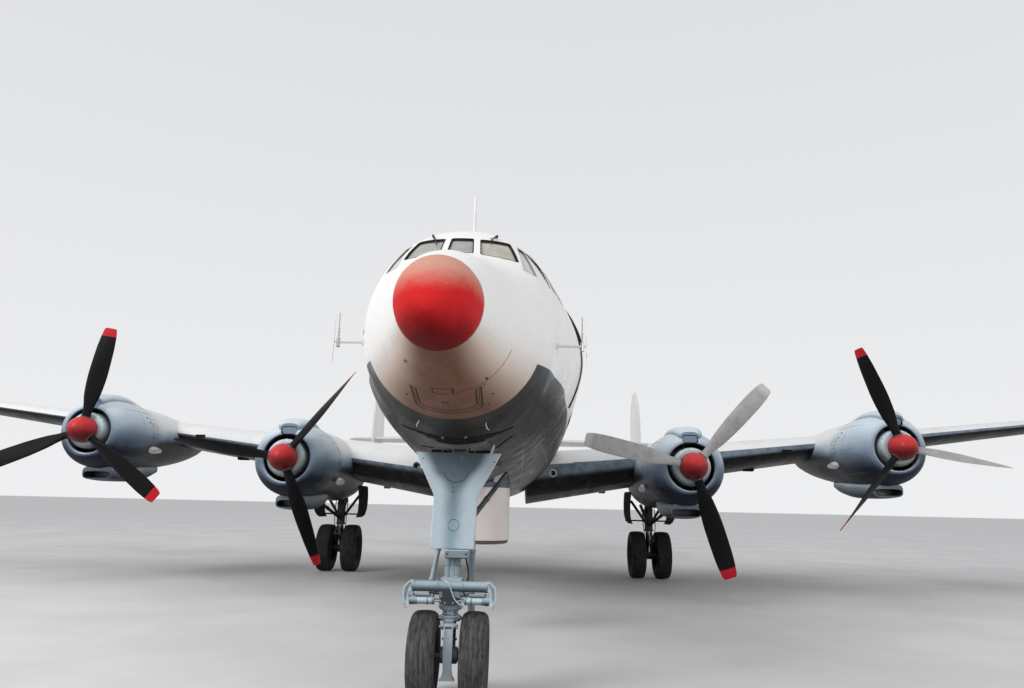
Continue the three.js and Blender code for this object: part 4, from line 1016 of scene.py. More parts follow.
for hook in ([(-0.340, 2.68), (-0.362, 2.76), (-0.388, 2.86), (-0.398, 2.94)],
             [(0.320, 2.67), (0.316, 2.75), (0.324, 2.85), (0.342, 2.92)]):
    path = [Vector(under(x, aft)) - Vector((0, 0, 0.008)) for x, aft in hook]
    rim_and_shade.join(tube(path, [0.004, 0.007, 0.007, 0.005], 10, paint=2))
piece(rim_and_shade, "well_rim_and_shade", [black_and_shade, deck_grey, exhaust_pale], slot="black_paint")

# Wings, from a thick root section to a thin tip, each with a flap and an aileron behind

# columns: distance out, leading edge aft of the datum, chord, thickness over chord
WING_TIPS = [(18.25, 16.39, 1.85, 0.115), (18.6, 16.70, 1.25, 0.09), (HALF_SPAN, 17.0, 0.70, 0.05)]
LEADING_SLOPE, ROOT_LEADING = 0.1317, 13.84
WASHOUT, CAMBER, TRAILING = 0.045, 0.015, 0.0035
HINGE = 0.77
FLAP = (2.0, 11.9)
AILERON = (11.95, 17.5)
TIP_START = 17.6


def wing_line(out):
    return (out, ROOT_LEADING + LEADING_SLOPE * out, 6.0 - 3.85 * out / HALF_SPAN,
            0.12 + 0.12 * (1 - out / HALF_SPAN) ** 2)


def wing_height(out):
    return 2.48 + 0.125 * out


def foil_half(x, thickness):
    shape = 0.2969 * math.sqrt(x) - 0.126 * x - 0.3516 * x ** 2 + 0.2843 * x ** 3 - 0.1015 * x ** 4
    return 5 * thickness * shape


def rise(x, camber=CAMBER):
    return 4 * camber * x * (1 - x)


def foil(thickness, camber, front=0.0, back=1.0, count=26):
    """A section from front to back: points over the top aft, then forward below."""
    shares = [front + (back - front) * (1 - math.cos(t * math.pi / 2)) for t in np.linspace(0, 1, count)]
    upper = [(x, rise(x, camber) + foil_half(x, thickness) + TRAILING * x) for x in shares]
    lower = [(x, rise(x, camber) - foil_half(x, thickness) - TRAILING * x) for x in reversed(shares)]
    return upper + (lower[:-1] if front == 0.0 else lower)


def wing_ring(side, line, front=0.0, back=1.0):
    out, leading, chord, thickness = line
    return [(side * out, from_nose(leading + aft * chord),
             wing_height(out) + up * chord - aft * WASHOUT * chord)
            for aft, up in foil(thickness, CAMBER, front, back)]


def wing_finish(name, top_edge, boot_depth):
    """White above, rubber over the leading edge and grey below. The rubber has a painted blue grey sheen
    where it faces up and painted shade, near black, where it faces down; on the port wing the dark reaches
    higher up than on the starboard one.
    """
    f = Finish(name)
    streak = f.noise(1.5, 6.0, 0.65, (1.0, 0.12, 1.0))
    top = f.mix(f.times(f.band(streak, 0.45, 0.8), 0.35), (0.77, 0.77, 0.76), (0.48, 0.46, 0.42))
    low = f.mix(f.band(streak, 0.4, 0.75), (0.095, 0.090, 0.088), (0.036, 0.029, 0.025))
    # Painted sheen and shade on the rubber: blue grey where it faces up, near black where it faces down
    edge = f.mix(f.band(f.normal[2], 0.0, -0.52), (0.165, 0.210, 0.255), (0.009, 0.009, 0.010))
    boot = f.mix(f.times(f.band(f.noise(4.0, 5.0), 0.4, 0.7), 0.5), edge, (0.040, 0.036, 0.034))
    line = f.plus(from_nose(ROOT_LEADING), f.times(f.math("ABSOLUTE", f.x), LEADING_SLOPE))
    depth = f.math("SUBTRACT", f.y, line)
    leading = f.band(depth, boot_depth, boot_depth - 0.02)
    down = f.band(f.normal[2], top_edge + 0.03, top_edge - 0.03)
    f.bump(f.noise(2.5, 2.0), 0.12, 0.01)
    tone = f.mix(f.times(leading, down), f.mix(down, top, low), boot)
    return f.finish(tone, f.band(streak, 0.3, 0.8, 0.36, 0.55), specular=0.12)


def before_aileron(out):
    """The share of the chord at which the wing ends ahead of the aileron."""
    _, _, chord, thickness = wing_line(out)
    return HINGE - foil_half(HINGE, thickness) - 0.012 / chord


wing_paints = {"port": wing_finish("port_wing_paint", 0.62, 0.55),
               "starboard": wing_finish("starboard_wing_paint", 0.05, 0.45)}
for name, side in SIDES.items():
    rings = [wing_ring(side, wing_line(out)) for out in np.linspace(0.85, FLAP[0] - 0.001, 4)]
    rings += [wing_ring(side, wing_line(out), 0.0, HINGE - 0.002) for out in np.linspace(*FLAP, 18)]
    rings += [wing_ring(side, wing_line(out), 0.0, before_aileron(out))
              for out in np.linspace(FLAP[1] + 0.01, AILERON[1], 12)]
    rings += [wing_ring(side, wing_line(AILERON[1] + 0.01)), wing_ring(side, wing_line(TIP_START))]
    tips = [wing_line(TIP_START)] + WING_TIPS
    curve = smooth_path([t[:3] for t in tips], 7)
    thick = np.interp(curve[:, 0], [t[0] for t in tips], [t[3] for t in tips])
    rings += [wing_ring(side, (p[0], p[1], p[2], t)) for p, t in zip(curve[1:], thick[1:])]
    wing = loft(rings)
    wing.join(slab((side * 2.82, from_nose(15.92), 2.23), (side * 2.98, from_nose(16.08), 2.52), 0.006,
                   paint=1))
    piece(wing, f"wing_skin_{name}", [wing_paints[name], under_grey], replaces=f"wing_{name}")

    rings = []
    for out in np.linspace(AILERON[0] + 0.02, AILERON[1] - 0.03, 14):
        _, leading, chord, thickness = wing_line(out)
        radius = foil_half(HINGE, thickness) * chord - 0.002
        middle = wing_height(out) + (rise(HINGE) - HINGE * WASHOUT) * chord
        body = wing_ring(side, wing_line(out), HINGE + 0.02, 1.0)
        nose = [(side * out, from_nose(leading + HINGE * chord) - radius * math.cos(a),
                 middle - radius * math.sin(a))
                for a in np.linspace(math.pi / 2 - 0.1, -math.pi / 2 + 0.1, 12)]
        rings.append(body + nose)
    piece(loft(rings), f"aileron_skin_{name}", [wing_white], body=f"aileron_{name}",
          replaces=f"aileron_{name}")
    rings = [wing_ring(side, wing_line(out), HINGE + 0.001, 1.0) for out in np.linspace(*FLAP, 18)]
    piece(loft(rings), f"flap_skin_{name}", [wing_white], replaces=f"flap_{name}")


def on_wing(side, out, share, upper):
    """A point on the wing's skin at a share of its chord."""
    _, leading, chord, thickness = wing_line(out)
    half = foil_half(share, thickness) + TRAILING * share
    up = rise(share) + (half if upper else -half)
    return Vector((side * out, from_nose(leading + share * chord),
                   wing_height(out) + (up - share * WASHOUT) * chord))


wing_lines = Shape()
for side in SIDES.values():
    for upper in (True, False):
        normal = (0, 0, 1 if upper else -1)
        for share in (0.12, 0.42, 0.68):
            path = [on_wing(side, out, share, upper) for out in np.linspace(1.9, 17.4, 30)]
            wing_lines.join(ribbon(path, [normal] * len(path), 0.006, 0.001))
        for outs, shares, width, height in (
                ((2.4, 5.4, 7.6, 10.2, 11.93, 14.7, 17.5), np.linspace(0.03, 0.76, 24), 0.006, 0.001),
                ((4.6, 7.2, 9.6), np.linspace(0.775, 0.985, 8), 0.009, 0.0015)):
            for out in outs:
                path = [on_wing(side, out, share, upper) for share in shares]
                wing_lines.join(ribbon(path, [normal] * len(path), width, height))
piece(wing_lines, "wing_seams", [line_soft])

# Ring holes with black discs and dark strips for slots in the leading edges, both painted shade inside
# openings, and a block under each wing

RING = [(0.064, 0.06), (0.064, -0.010), (0.072, -0.018), (0.088, -0.018), (0.094, -0.008), (0.094, 0.06),
        (0.064, 0.06)]
details = Shape()
for out, height, rim_paint in ((1.489, 2.659, 1), (-1.881, 2.767, 2)):
    at = Vector((out, from_nose(wing_line(abs(out))[1]) - 0.006, height))
    details.join(lathe([(0.0, 0.004), (0.066, 0.004), (0.066, 0.06), (0.0, 0.06)], 32, 0, at))
    details.join(lathe(RING, 32, rim_paint, at))
# Painted shade: dark strips on the leading edges stand in for the inside of slots
for middle_out, height in ((7.524, 3.378), (-7.639, 3.436)):
    path = [(x, from_nose(wing_line(abs(x))[1]) + 0.001, height)
            for x in np.linspace(middle_out - 0.13, middle_out + 0.13, 8)]
    details.join(ribbon(path, [(0, -1, 0)] * len(path), 0.088, 0.006, sink=0.03))
for side in SIDES.values():
    at = on_wing(side, 6.78, 0.22, upper=False)
    details.join(slab(at + Vector((-0.14, -0.10, -0.055)), at + Vector((0.14, 0.10, 0.03)), 0.02))
piece(details, "wing_edge_details", [black_and_shade, exhaust_pale, under_grey], slot="black_paint")

# Engines: each about its own hub, with Y running aft of the propeller

# Blade paints: black, a grey copy with a painted sheen, and black with a dark tip
BLACK, SHEEN, SOOTY = 0, 3, 4
# columns: name, out, hub aft of the datum, hub height, blade angle, pitch added to the blades, blade paints
ENGINES = [
    ("port_inboard", 4.27, 11.07, 2.737, 43.0, -47.0, (SHEEN, BLACK, SHEEN)),
    ("starboard_inboard", -4.27, 11.07, 2.737, 37.5, 27.0, (BLACK, BLACK, SOOTY)),
    ("port_outboard", 8.956, 11.76, 3.283, 339.5, 28.0, (BLACK, SHEEN, BLACK)),
    ("starboard_outboard", -8.956, 11.76, 3.283, 8.5, -47.0, (BLACK, BLACK, BLACK)),
]
COWL_BACK = 1.96


def columns_at(table, at):
    """The other columns of a table at a place along its first one."""
    table = np.array(table, float)
    return [along_table(table, column, at) for column in (1, 2, 3)]


def squared(angle, power):
    """A point of a circle, pushed out towards the corners where the power is less than 1."""
    across, up = math.sin(angle), math.cos(angle)
    return math.copysign(abs(across) ** power, across), math.copysign(abs(up) ** power, up)


def duct(stations, power, steps=22, sides=48):
    rings = []
    for aft in np.linspace(stations[0][0], stations[-1][0], steps):
        centre, half_width, half_height = columns_at(stations, aft)
        rings.append([(across * half_width, aft, centre + up * half_height)
                      for across, up in (squared(angle, power) for angle in turns(sides))])
    return loft(rings)


# columns: aft of the hub, middle's height, half width, half height
TOP_SCOOP = [(0.285, 0.615, 0.205, 0.125), (0.42, 0.645, 0.275, 0.175), (0.62, 0.69, 0.33, 0.19),
             (1.10, 0.70, 0.345, 0.205), (COWL_BACK, 0.60, 0.30, 0.20)]
BOTTOM_SCOOP = [(0.82, -0.905, 0.335, 0.155), (1.25, -0.90, 0.35, 0.18), (COWL_BACK, -0.88, 0.345, 0.19),
                (2.70, -0.80, 0.30, 0.17), (3.30, -0.72, 0.20, 0.10)]
BOTTOM_INLET = [(0.78, -0.945, 0.305, 0.075), (0.90, -0.945, 0.305, 0.075), (1.20, -0.93, 0.275, 0.065)]
# columns: radius, distance aft of the hub
COWL_OUTER = [(0.490, 0.290), (0.497, 0.250), (0.520, 0.235), (0.570, 0.250), (0.625, 0.290),
              (0.670, 0.345),
              (0.722, 0.430), (0.760, 0.520), (0.788, 0.640), (0.803, 0.780), (0.811, 0.950), (0.815, 1.15),
              (0.812, 1.35), (0.800, 1.60), (0.788, 1.80), (0.775, COWL_BACK)]
COWL_INNER = [(0.745, COWL_BACK), (0.745, 1.3), (0.745, 0.9), (0.70, 0.78), (0.62, 0.57), (0.55, 0.42),
              (0.505, 0.33)]
INTAKE_HEIGHT = 0.5875
FASTENER_TURN = math.degrees(0.03)


def cowl_shape():
    """The cowl ring with the intake's hump on top and the cooler's scoop below."""
    profile = [*smooth_path(COWL_OUTER, 3), *smooth_path(COWL_INNER, 2)]
    profile.append(profile[0])
    ring = object_from(lathe(profile, 88), "ring", [cowl_paint])
    inlet_line = [(across * 0.168, INTAKE_HEIGHT + up * 0.0875)
                  for across, up in (squared(angle, 0.45) for angle in turns(40))]
    inlet = prism(inlet_line, "Y", 0.15, 0.56)
    cut(ring, inlet, metal_dark)
    hump = cut(object_from(duct(TOP_SCOOP, 0.7), "hump", [cowl_paint]), inlet, metal_dark)
    chin = object_from(duct(BOTTOM_SCOOP, 0.6, 40), "chin", [cowl_paint])
    cut(chin, duct(BOTTOM_INLET, 0.5, 12), black_and_shade)
    cut(chin, slab((-1, COWL_BACK, -3), (1, 5, 3), 0.001), cowl_paint)
    core = lathe([(0.0, 0.62), (0.7455, 0.62), (0.7455, 3.4), (0.0, 3.4)], 88)
    whole = shape_of(ring)
    for part in (hump, chin):
        whole.join(shape_of(cut(part, core, metal_dark)))
    blank = [(x * 0.90, INTAKE_HEIGHT + (z - INTAKE_HEIGHT) * 0.82) for x, z in inlet_line]
    return whole.join(prism(blank, "Y", 0.296, 0.555))


def on_cowl(degrees, aft, lift=0.0):
    """A point on the cowl, the angle running from its top to port."""
    radius = float(np.interp(aft, [a for _, a in COWL_OUTER[3:]], [r for r, _ in COWL_OUTER[3:]])) + lift
    return (radius * math.sin(math.radians(degrees)), aft, radius * math.cos(math.radians(degrees)))


def along_cowl(degrees, front, back, steps):
    return [on_cowl(degrees, aft) for aft in np.linspace(front, back, steps)]


def cowl_strip(points, width, height=0.0015, paint=0):
    normals = [Vector((p[0], 0, p[2])).normalized() for p in points]
    return ribbon(points, normals, width, height, paint)


def cowl_trim():
    """Seams, flap gills, fasteners and vents on a cowl."""
    trim = Shape()
    for aft, width in ((0.56, 0.004), (1.18, 0.006), (1.62, 0.007)):
        for low, high in ((26, 154), (206, 334)):
            trim.join(cowl_strip([on_cowl(d, aft) for d in np.linspace(low, high, 40)], width))
    for degrees in (48, 90, 132, 228, 270, 312):
        trim.join(cowl_strip(along_cowl(degrees, 0.56, 1.62, 16), 0.006))
        out = Vector((math.sin(math.radians(degrees)), 0, math.cos(math.radians(degrees))))
        for aft in np.linspace(0.62, 1.56, 9):
            spot = Vector(on_cowl(degrees + FASTENER_TURN, aft))
            trim.join(rod(spot - out * 0.006, spot + out * 0.002, 0.008, 8))
    gills = [(degrees, 1.63, 1.95, 6, 0.008, 0.001, 0) for degrees in range(32, 150, 13)]
    vents = [(degrees, front, back, 5, 0.026, 0.003, 1)
             for degrees, front, back in ((58, 1.40, 1.50), (66, 1.50, 1.58), (92, 1.66, 1.71))]
    for degrees, front, back, steps, width, height, paint in gills + vents:
        for angle in (degrees, 360 - degrees):
            trim.join(cowl_strip(along_cowl(angle, front, back, steps), width, height, paint))
    for low, high in ((66, 78), (84, 96)):
        for mirror in (1, -1):
            line = closed_dense([(low, 1.68), (high, 1.68), (high, 1.90), (low, 1.90)], 5)
            trim.join(cowl_strip([on_cowl(mirror * d, aft, 0.001) for d, aft in line], 0.007))
    return trim


def engine_shape():
    """The gear case's dome with its bolts, a crankcase, and two rows of finned cylinders."""
    case = smooth_path([(0.0, 0.118), (0.20, 0.118), (0.325, 0.126), (0.372, 0.142), (0.396, 0.185),
                        (0.402, 0.26), (0.402, 0.48), (0.415, 0.68), (0.44, 0.76)], 4)
    made = lathe([*case, (0.44, 1.86), (0.0, 1.86)], 64)
    for a in turns(20, 0.5):
        spot = Vector((0.388 * math.sin(a), 0.168, 0.388 * math.cos(a)))
        made.join(rod(spot, spot + Vector((0.012 * math.sin(a), -0.010, 0.012 * math.cos(a))), 0.008, 6,
                      paint=1))
    fins = []
    for k in range(13):
        low = 0.44 + k * 0.018
        fins += [(0.112, low), (0.112, low + 0.006), (0.094, low + 0.008), (0.094, low + 0.016)]
    cylinder = lathe([(0.0, 0.40), (0.09, 0.40)] + fins + [(0.10, 0.685), (0.0, 0.69)], 20, axis="Z")
    for row, aft in enumerate((0.98, 1.42)):
        for a in turns(9, row / 2):
            turn = Matrix.Translation((0, aft, 0)) @ Matrix.Rotation(a, 4, "Y")
            made.join(cylinder, turn, paint=1)
    for a in turns(18, 0.25):
        path = [(r * math.sin(a), aft, r * math.cos(a)) for r,
                aft in ((0.30, 0.72), (0.52, 0.80), (0.60, 0.92))]
        made.join(tube(path, 0.012, 8, paint=1))
    return made


NACELLES = {
    "inboard": [(1.965, 0.0, 0.775, 0.775), (3.2, 0.0, 0.745, 0.79), (4.6, -0.06, 0.70, 0.80),
                (5.9, -0.04, 0.58, 0.70), (6.7, 0.04, 0.40, 0.48), (7.2, 0.13, 0.20, 0.21)],
    "outboard": [(1.965, 0.0, 0.775, 0.775), (3.0, 0.02, 0.72, 0.73), (4.3, 0.06, 0.60, 0.60),
                 (5.5, 0.12, 0.40, 0.40), (6.35, 0.18, 0.17, 0.15)],
}


def nacelle_shape(kind):
    """The nacelle with the scoop's rear, the exhaust outlets and two seams."""
    made = duct(NACELLES[kind], 1.0, 60, 72)
    rear = object_from(duct(BOTTOM_SCOOP, 0.6, 40), "rear", [cowl_paint])
    made.join(shape_of(cut(rear, slab((-1, -1, -3), (1, COWL_BACK + 0.005, 3), 0.001), cowl_paint)))
    across, back, up = (0.740, 0.08, -0.42) if kind == "inboard" else (0.745, -0.10, -0.31)
    bullet = [(0.0, 1.70), (0.038, 1.715), (0.072, 1.77), (0.088, 1.87), (0.086, 1.98), (0.070, 2.12),
              (0.050, 2.25)]
    for side in (1, -1):
        made.join(lathe(bullet + [(0.044, 2.26), (0.036, 2.22), (0.0, 2.20)], 28, 1,
                        (side * across, back, up)))
    for aft, low, high in ((2.35, 0.5, 1.5), (3.1, 0.6, 1.4)):
        centre, half_width, half_height = columns_at(NACELLES[kind], aft)
        path = [(half_width * math.sin(a), aft, centre + half_height * math.cos(a))
                for a in np.linspace(low * math.pi, high * math.pi, 50)]
        made.join(cowl_strip(path, 0.006, 0.0012, paint=2))
    return made


# columns: distance from the hub, chord, thickness, pitch in degrees
BLADE = [(0.15, 0.170, 0.150, 16), (0.42, 0.190, 0.130, 18), (0.80, 0.330, 0.070, 23),
         (1.30, 0.390, 0.045, 29),
         (1.80, 0.380, 0.032, 38), (2.13, 0.335, 0.024, 44), (2.27, 0.285, 0.018, 46),
         (2.30, 0.250, 0.014, 46),
         (2.31, 0.205, 0.010, 46)]


def blade_shape(extra):
    """A blade up the Z axis: a round root that flattens into an aerofoil with a square tip."""
    rings = []
    for out in [*np.linspace(0.15, 2.13, 26), 2.20, 2.26, 2.285, 2.300, 2.31]:
        chord, thickness, pitch = columns_at(BLADE, out)
        turn = math.radians(pitch + extra)
        flat = min(1.0, max(0.0, (out - 0.42) / 0.5))
        ring = []
        for a in turns(28):
            along = chord / 2 * math.cos(a)
            camber = flat * 0.35 * thickness * math.sin(a) ** 2
            through = thickness / 2 * math.sin(a) * (1 - 0.25 * flat * math.cos(a)) + camber * 0.5
            ring.append((along * math.cos(turn) - through * math.sin(turn),
                         -along * math.sin(turn) - through * math.cos(turn), out))
        rings.append(ring)
    return loft(rings)


def propeller_shape(angle, extra, paints):
    """The spinner with its seams, and three blades, each with its own paint."""
    profile = smooth_path([(0.282, 0.10), (0.282, 0.0), (0.278, -0.065), (0.262, -0.135), (0.229, -0.21),
                           (0.179, -0.282), (0.118, -0.333), (0.052, -0.360), (0.0, -0.368)], 6)
    made = lathe([(0.0, 0.10), *profile], 64, paint=1)
    for aft in (-0.055, 0.085):
        radius = float(np.interp(aft, [-0.065, 0.0, 0.1], [0.278, 0.282, 0.282])) + 0.0005
        path = [(radius * math.sin(a), aft, radius * math.cos(a)) for a in np.linspace(0, 2 * math.pi, 65)]
        made.join(cowl_strip(path, 0.006, 0.001, paint=2))
    for k, paint in enumerate(paints):
        turn = Matrix.Rotation(math.radians(angle + 120 * k), 4, "Y")
        made.join(blade_shape(extra), turn, paint)
        made.join(lathe([(0.088, 0.245), (0.108, 0.258), (0.108, 0.286), (0.090, 0.296)], 32, 2, axis="Z"),
                  turn)
    return made


# A lighter grey copy of the black blade paint for blades that catch the light: a painted sheen, rubbed in
# patches and palest at the tip
def sheen_blade_finish():
    f = Finish("blade_sheen_grey")
    rub = f.band(f.noise(6.0, 6.0, 0.75), 0.42, 0.75)
    grey = f.mix(f.times(rub, 0.6), (0.34, 0.33, 0.33), (0.16, 0.155, 0.155))
    reach = f.node("ShaderNodeVectorMath", {0: f.place}, operation="LENGTH").outputs["Value"]
    tone = f.mix(f.band(reach, 2.10, 2.25), grey, (0.46, 0.44, 0.43))
    f.bump(f.noise(45.0, 4.0), 0.15, 0.001)
    return f.finish(tone, f.band(rub, 0.0, 1.0, 0.35, 0.55))


sheen_grey = sheen_blade_finish()
cowl_master, trim_master, engine_master = cowl_shape(), cowl_trim(), engine_shape()
nacelle_masters = {kind: nacelle_shape(kind) for kind in NACELLES}
for name, out, aft, height, angle, extra, paints in ENGINES:
    hub = Vector((out, from_nose(aft), height))
    piece_at(cowl_master, hub, f"cowl_shell_{name}", [cowl_paint, metal_dark, black_and_shade],
             slot="cowl_paint", replaces=f"cowl_{name}")
    piece_at(trim_master, hub, f"cowl_trim_{name}", [line_dark, black_and_shade], slot="black_paint")
    piece_at(engine_master, hub, f"engine_detail_{name}", [case_grey, metal_dark],
             slot="engine_metal", replaces=f"engine_{name}")
    piece_at(nacelle_masters[name.split("_")[1]], hub, f"nacelle_shell_{name}",
             [cowl_paint, exhaust_pale, line_dark], slot="cowl_paint", replaces=f"nacelle_{name}")
    piece_at(propeller_shape(angle, extra, paints), hub, f"propeller_blades_{name}",
             [blade_black, spinner_red, metal_dark, sheen_grey, blade_sooty],
             slot="blade_paint", body=f"propeller_{name}", replaces=f"propeller_{name}")

# Tail

TAIL_HINGE, RUDDER_HINGE, TAIL_HEIGHT, FIN_OUT = 32.5, 32.65, 4.83, 6.3
RUDDER_GAP = 0.012
# columns: out or height, leading edge, trailing edge, thickness over chord
STABILISER = [(0.2, 30.45, 33.65, 0.1), (6.3, 31.15, 33.55, 0.09), (7.1, 31.35, 33.10, 0.09),
              (7.48, 31.65, 32.80, 0.07), (7.62, 32.0, 32.55, 0.05)]
OUTER_FIN = [(3.56, 31.95, 32.95, 0.05), (3.68, 31.65, 33.28, 0.08), (4.1, 31.2, 33.65, 0.09),
             (4.83, 31.0, 33.83, 0.09), (5.7, 31.05, 33.83, 0.09), (6.5, 31.32, 33.68, 0.09),
             (7.1, 31.68, 33.42, 0.09), (7.38, 32.0, 33.16, 0.07), (7.46, 32.25, 32.95, 0.05)]
CENTRE_FIN = [(4.9, 29.5, 33.83, 0.07), (5.35, 30.2, 33.83, 0.08), (6.1, 30.95, 33.8, 0.09),
              (6.7, 31.3, 33.68, 0.09), (7.2, 31.68, 33.42, 0.09), (7.46, 32.0, 33.16, 0.07),
              (7.54, 32.25, 32.95, 0.05)]


def spans(table, low, high):
    """Places along a surface, closer together near the table's ends."""
    first, last = table[0][0], table[-1][0]
    even = np.linspace(0, 1, 26)
    eased = first + (last - first) * (0.5 - 0.5 * np.cos(math.pi * even))
    return [low] + [s for s in eased if low + 1e-3 < s < high - 1e-3] + [high]


def largest_half(table, hinge):
    best = 0.0
    for _, leading, trailing, thickness in table:
        chord = trailing - leading
        share = min(1.0, max(0.0, (hinge - leading) / chord))
        best = max(best, (foil_half(share, thickness) + TRAILING * share) * chord)
    return best


def fixed_surface(table, low, high, hinge, place):
    """The part ahead of the hinge."""
    rings = []
    for span in spans(table, low, high):
        leading, trailing, thickness = columns_at(table, span)
        chord = trailing - leading
        share = min(1.0, max(0.05, (hinge - leading) / chord))
        rings.append([place(span, from_nose(leading + a * chord), up * chord)
                      for a, up in foil(thickness, 0.0, 0.0, share, 22)])
    return loft(rings)


def moving_surface(table, low, high, hinge, place, radius):
    """The part behind the hinge, with a round nose about the hinge line."""
    rings = []
    for span in spans(table, low, high):
        leading, trailing, thickness = columns_at(table, span)
        chord = trailing - leading
        share = min(0.999, max(0.0, (hinge + 0.02 - leading) / chord))
        body = [(leading + a * chord, up * chord) for a, up in foil(thickness, 0.0, share, 1.0, 18)]
        reach = min(radius, abs(body[0][1]))
        nose = [(hinge - reach * math.cos(t), -reach * math.sin(t))
                for t in np.linspace(math.pi / 2, -math.pi / 2, 12)]
        rings.append([place(span, from_nose(a), up) for a, up in body + nose])
    return loft(rings)


tail_white = paint_finish("tail_white", (0.78, 0.78, 0.77), (0.55, 0.53, 0.49), stretch=(1, 1, 0.25),
                          share=0.4)
for name, side in SIDES.items():
    def level(span, y, up):
        return (side * span, y, TAIL_HEIGHT + up)

    def upright(span, y, up):
        return (side * FIN_OUT + up, y, span)

    inner = fixed_surface(STABILISER, 0.2, 6.2, TAIL_HINGE - 0.15, level)
    piece(inner, f"stabiliser_skin_{name}", [tail_white], replaces=f"stabiliser_{name}")
    elevator = moving_surface(STABILISER, 0.76, 6.15, TAIL_HINGE, level,
                              largest_half(STABILISER, TAIL_HINGE))
    elevator = object_from(elevator, "elevator", [tail_white])
    # The outer corner is cut off at a slant, so that it clears the rudder when that turns inwards
    corner = [(side * out, from_nose(TAIL_HINGE + aft)) for out,
              aft in ((6.15, 0), (6.4, 0), (6.4, 1.5), (5.4, 1.5))]
    cut(elevator, prism(corner, "Z", TAIL_HEIGHT - 0.5, TAIL_HEIGHT + 0.5), tail_white)
    piece(resharpen(elevator), f"elevator_skin_{name}", None, body=f"elevator_{name}",
          replaces=f"elevator_{name}")
    rudder_radius = largest_half(OUTER_FIN, RUDDER_HINGE)
    fin = fixed_surface(OUTER_FIN, 3.56, 7.46, RUDDER_HINGE - rudder_radius - RUDDER_GAP, upright)
    fin.join(fixed_surface(STABILISER, 6.3, 7.62, TAIL_HINGE - 0.15, level))
    piece(fin, f"outer_fin_skin_{name}", [tail_white], replaces=f"outer_fin_{name}")
    rudder = moving_surface(OUTER_FIN, 3.60, 7.44, RUDDER_HINGE, upright, rudder_radius)
    piece(rudder, f"outer_rudder_skin_{name}", [tail_white], body=f"outer_rudder_{name}",
          replaces=f"outer_rudder_{name}")


def central(span, y, up):
    return (up, y, span)


centre_radius = largest_half(CENTRE_FIN, RUDDER_HINGE)
centre_fin = fixed_surface(CENTRE_FIN, 4.9, 7.54, RUDDER_HINGE - centre_radius - RUDDER_GAP, central)
piece(centre_fin, "centre_fin_skin", [tail_white], replaces="centre_fin")
centre_rudder = moving_surface(CENTRE_FIN, 5.33, 7.52, RUDDER_HINGE, central, centre_radius)
piece(centre_rudder, "centre_rudder_skin", [tail_white], body="centre_rudder", replaces="centre_rudder")

# Wheels: a rounded tyre with ribs around its tread, and a hub with bolts

# columns: share of the radius, share of half the width
ROUND_SHOULDER = [(0.50, 0.58), (0.60, 0.86), (0.73, 1.0), (0.84, 0.985), (0.92, 0.88), (0.953, 0.77)]
SQUARE_SHOULDER = [(0.50, 0.60), (0.60, 0.90), (0.73, 1.0), (0.86, 1.0), (0.935, 0.955), (0.962, 0.89)]


def tyre_section(radius, width, ribs, square):
    """The section from the inner bead over the tread to the other bead."""
    half = width / 2
    bend, shoulder, drop = (SQUARE_SHOULDER, 0.83, 0.036) if square else (ROUND_SHOULDER, 0.70, 0.055)
    left = [tuple(p) for p in smooth_path([(r * radius, -a * half) for r, a in bend], 5)]
    shoulder *= half
    depth = radius * 0.006

    def crown(at):
        return radius * (1.0 - drop * abs(at / half) ** 2.2)

    tread = []
    for k in range(ribs):
        start = -shoulder + 2 * shoulder * k / ribs
        end = -shoulder + 2 * shoulder * (k + 1) / ribs
        gap = (end - start) * 0.06
        tread += [(crown(start) - depth, start), (crown(start + gap) - depth, start + gap),
                  (crown(start + gap), start + gap * 1.15), (crown((start + end) / 2), (start + end) / 2),
                  (crown(end - gap), end - gap * 1.15), (crown(end - gap) - depth, end - gap)]
    tread.append((crown(shoulder) - depth, shoulder))
    return left + tread + [(r, -a) for r, a in reversed(left)]


# columns: share of the radius, share of half the width
HUB = [(0.0, 0.30), (0.10, 0.30), (0.13, 0.26), (0.30, 0.22), (0.40, 0.34), (0.455, 0.46), (0.505, 0.56),
       (0.515, 0.585), (0.49, 0.60), (0.47, 0.5), (0.46, 0.0), (0.0, 0.0)]


def wheel(radius, width, across, ribs, square=False):
    """One wheel about the X axis, its middle at a distance across."""
    line = tyre_section(radius, width, ribs, square)
    line += [(0.45 * radius, 0.25 * width), (0.45 * radius, -0.25 * width), line[0]]
    made = lathe(line, 96, 0, (across, 0, 0), "X")
    outward = 1 if across > 0 else -1
    for direction in (1, -1):
        disc = [(r * radius, direction * a * width / 2) for r, a in HUB]
        made.join(lathe(disc, 48, 1, (across, 0, 0), "X"))
    for a in turns(8, 0.5):
        spot = Vector((across + outward * 0.115 * width, 0.24 * radius * math.sin(a),
                       0.24 * radius * math.cos(a)))
        made.join(rod(spot, spot + Vector((outward * 0.022, 0, 0)), 0.045 * radius, 6, paint=2))
    return made


NOSE_AFT, NOSE_RADIUS = 3.14, 0.415
nose_y = from_nose(NOSE_AFT)
pair = wheel(NOSE_RADIUS, 0.27, 0.25, 4).join(wheel(NOSE_RADIUS, 0.27, -0.25, 4))
pair.join(rod((-0.25, 0, 0), (0.25, 0, 0), 0.045, 32, paint=2))
piece_at(pair, (0, nose_y, NOSE_RADIUS), "nose_wheel_tyres", [tyre_grey, gear_paint, metal_dark],
         body="nose_wheel_pair", slot="tyre_rubber", replaces="nose_wheels")


def near_nose(x, forward, z):
    """A point of the nose gear: across, ahead of the axle's plane, and up."""
    return Vector((x, nose_y - forward, z))


def bolt(at, direction, radius, height, paint=2):
    at, direction = Vector(at), Vector(direction).normalized()
    return rod(at - direction * 0.004, at + direction * height, radius, 6, paint)


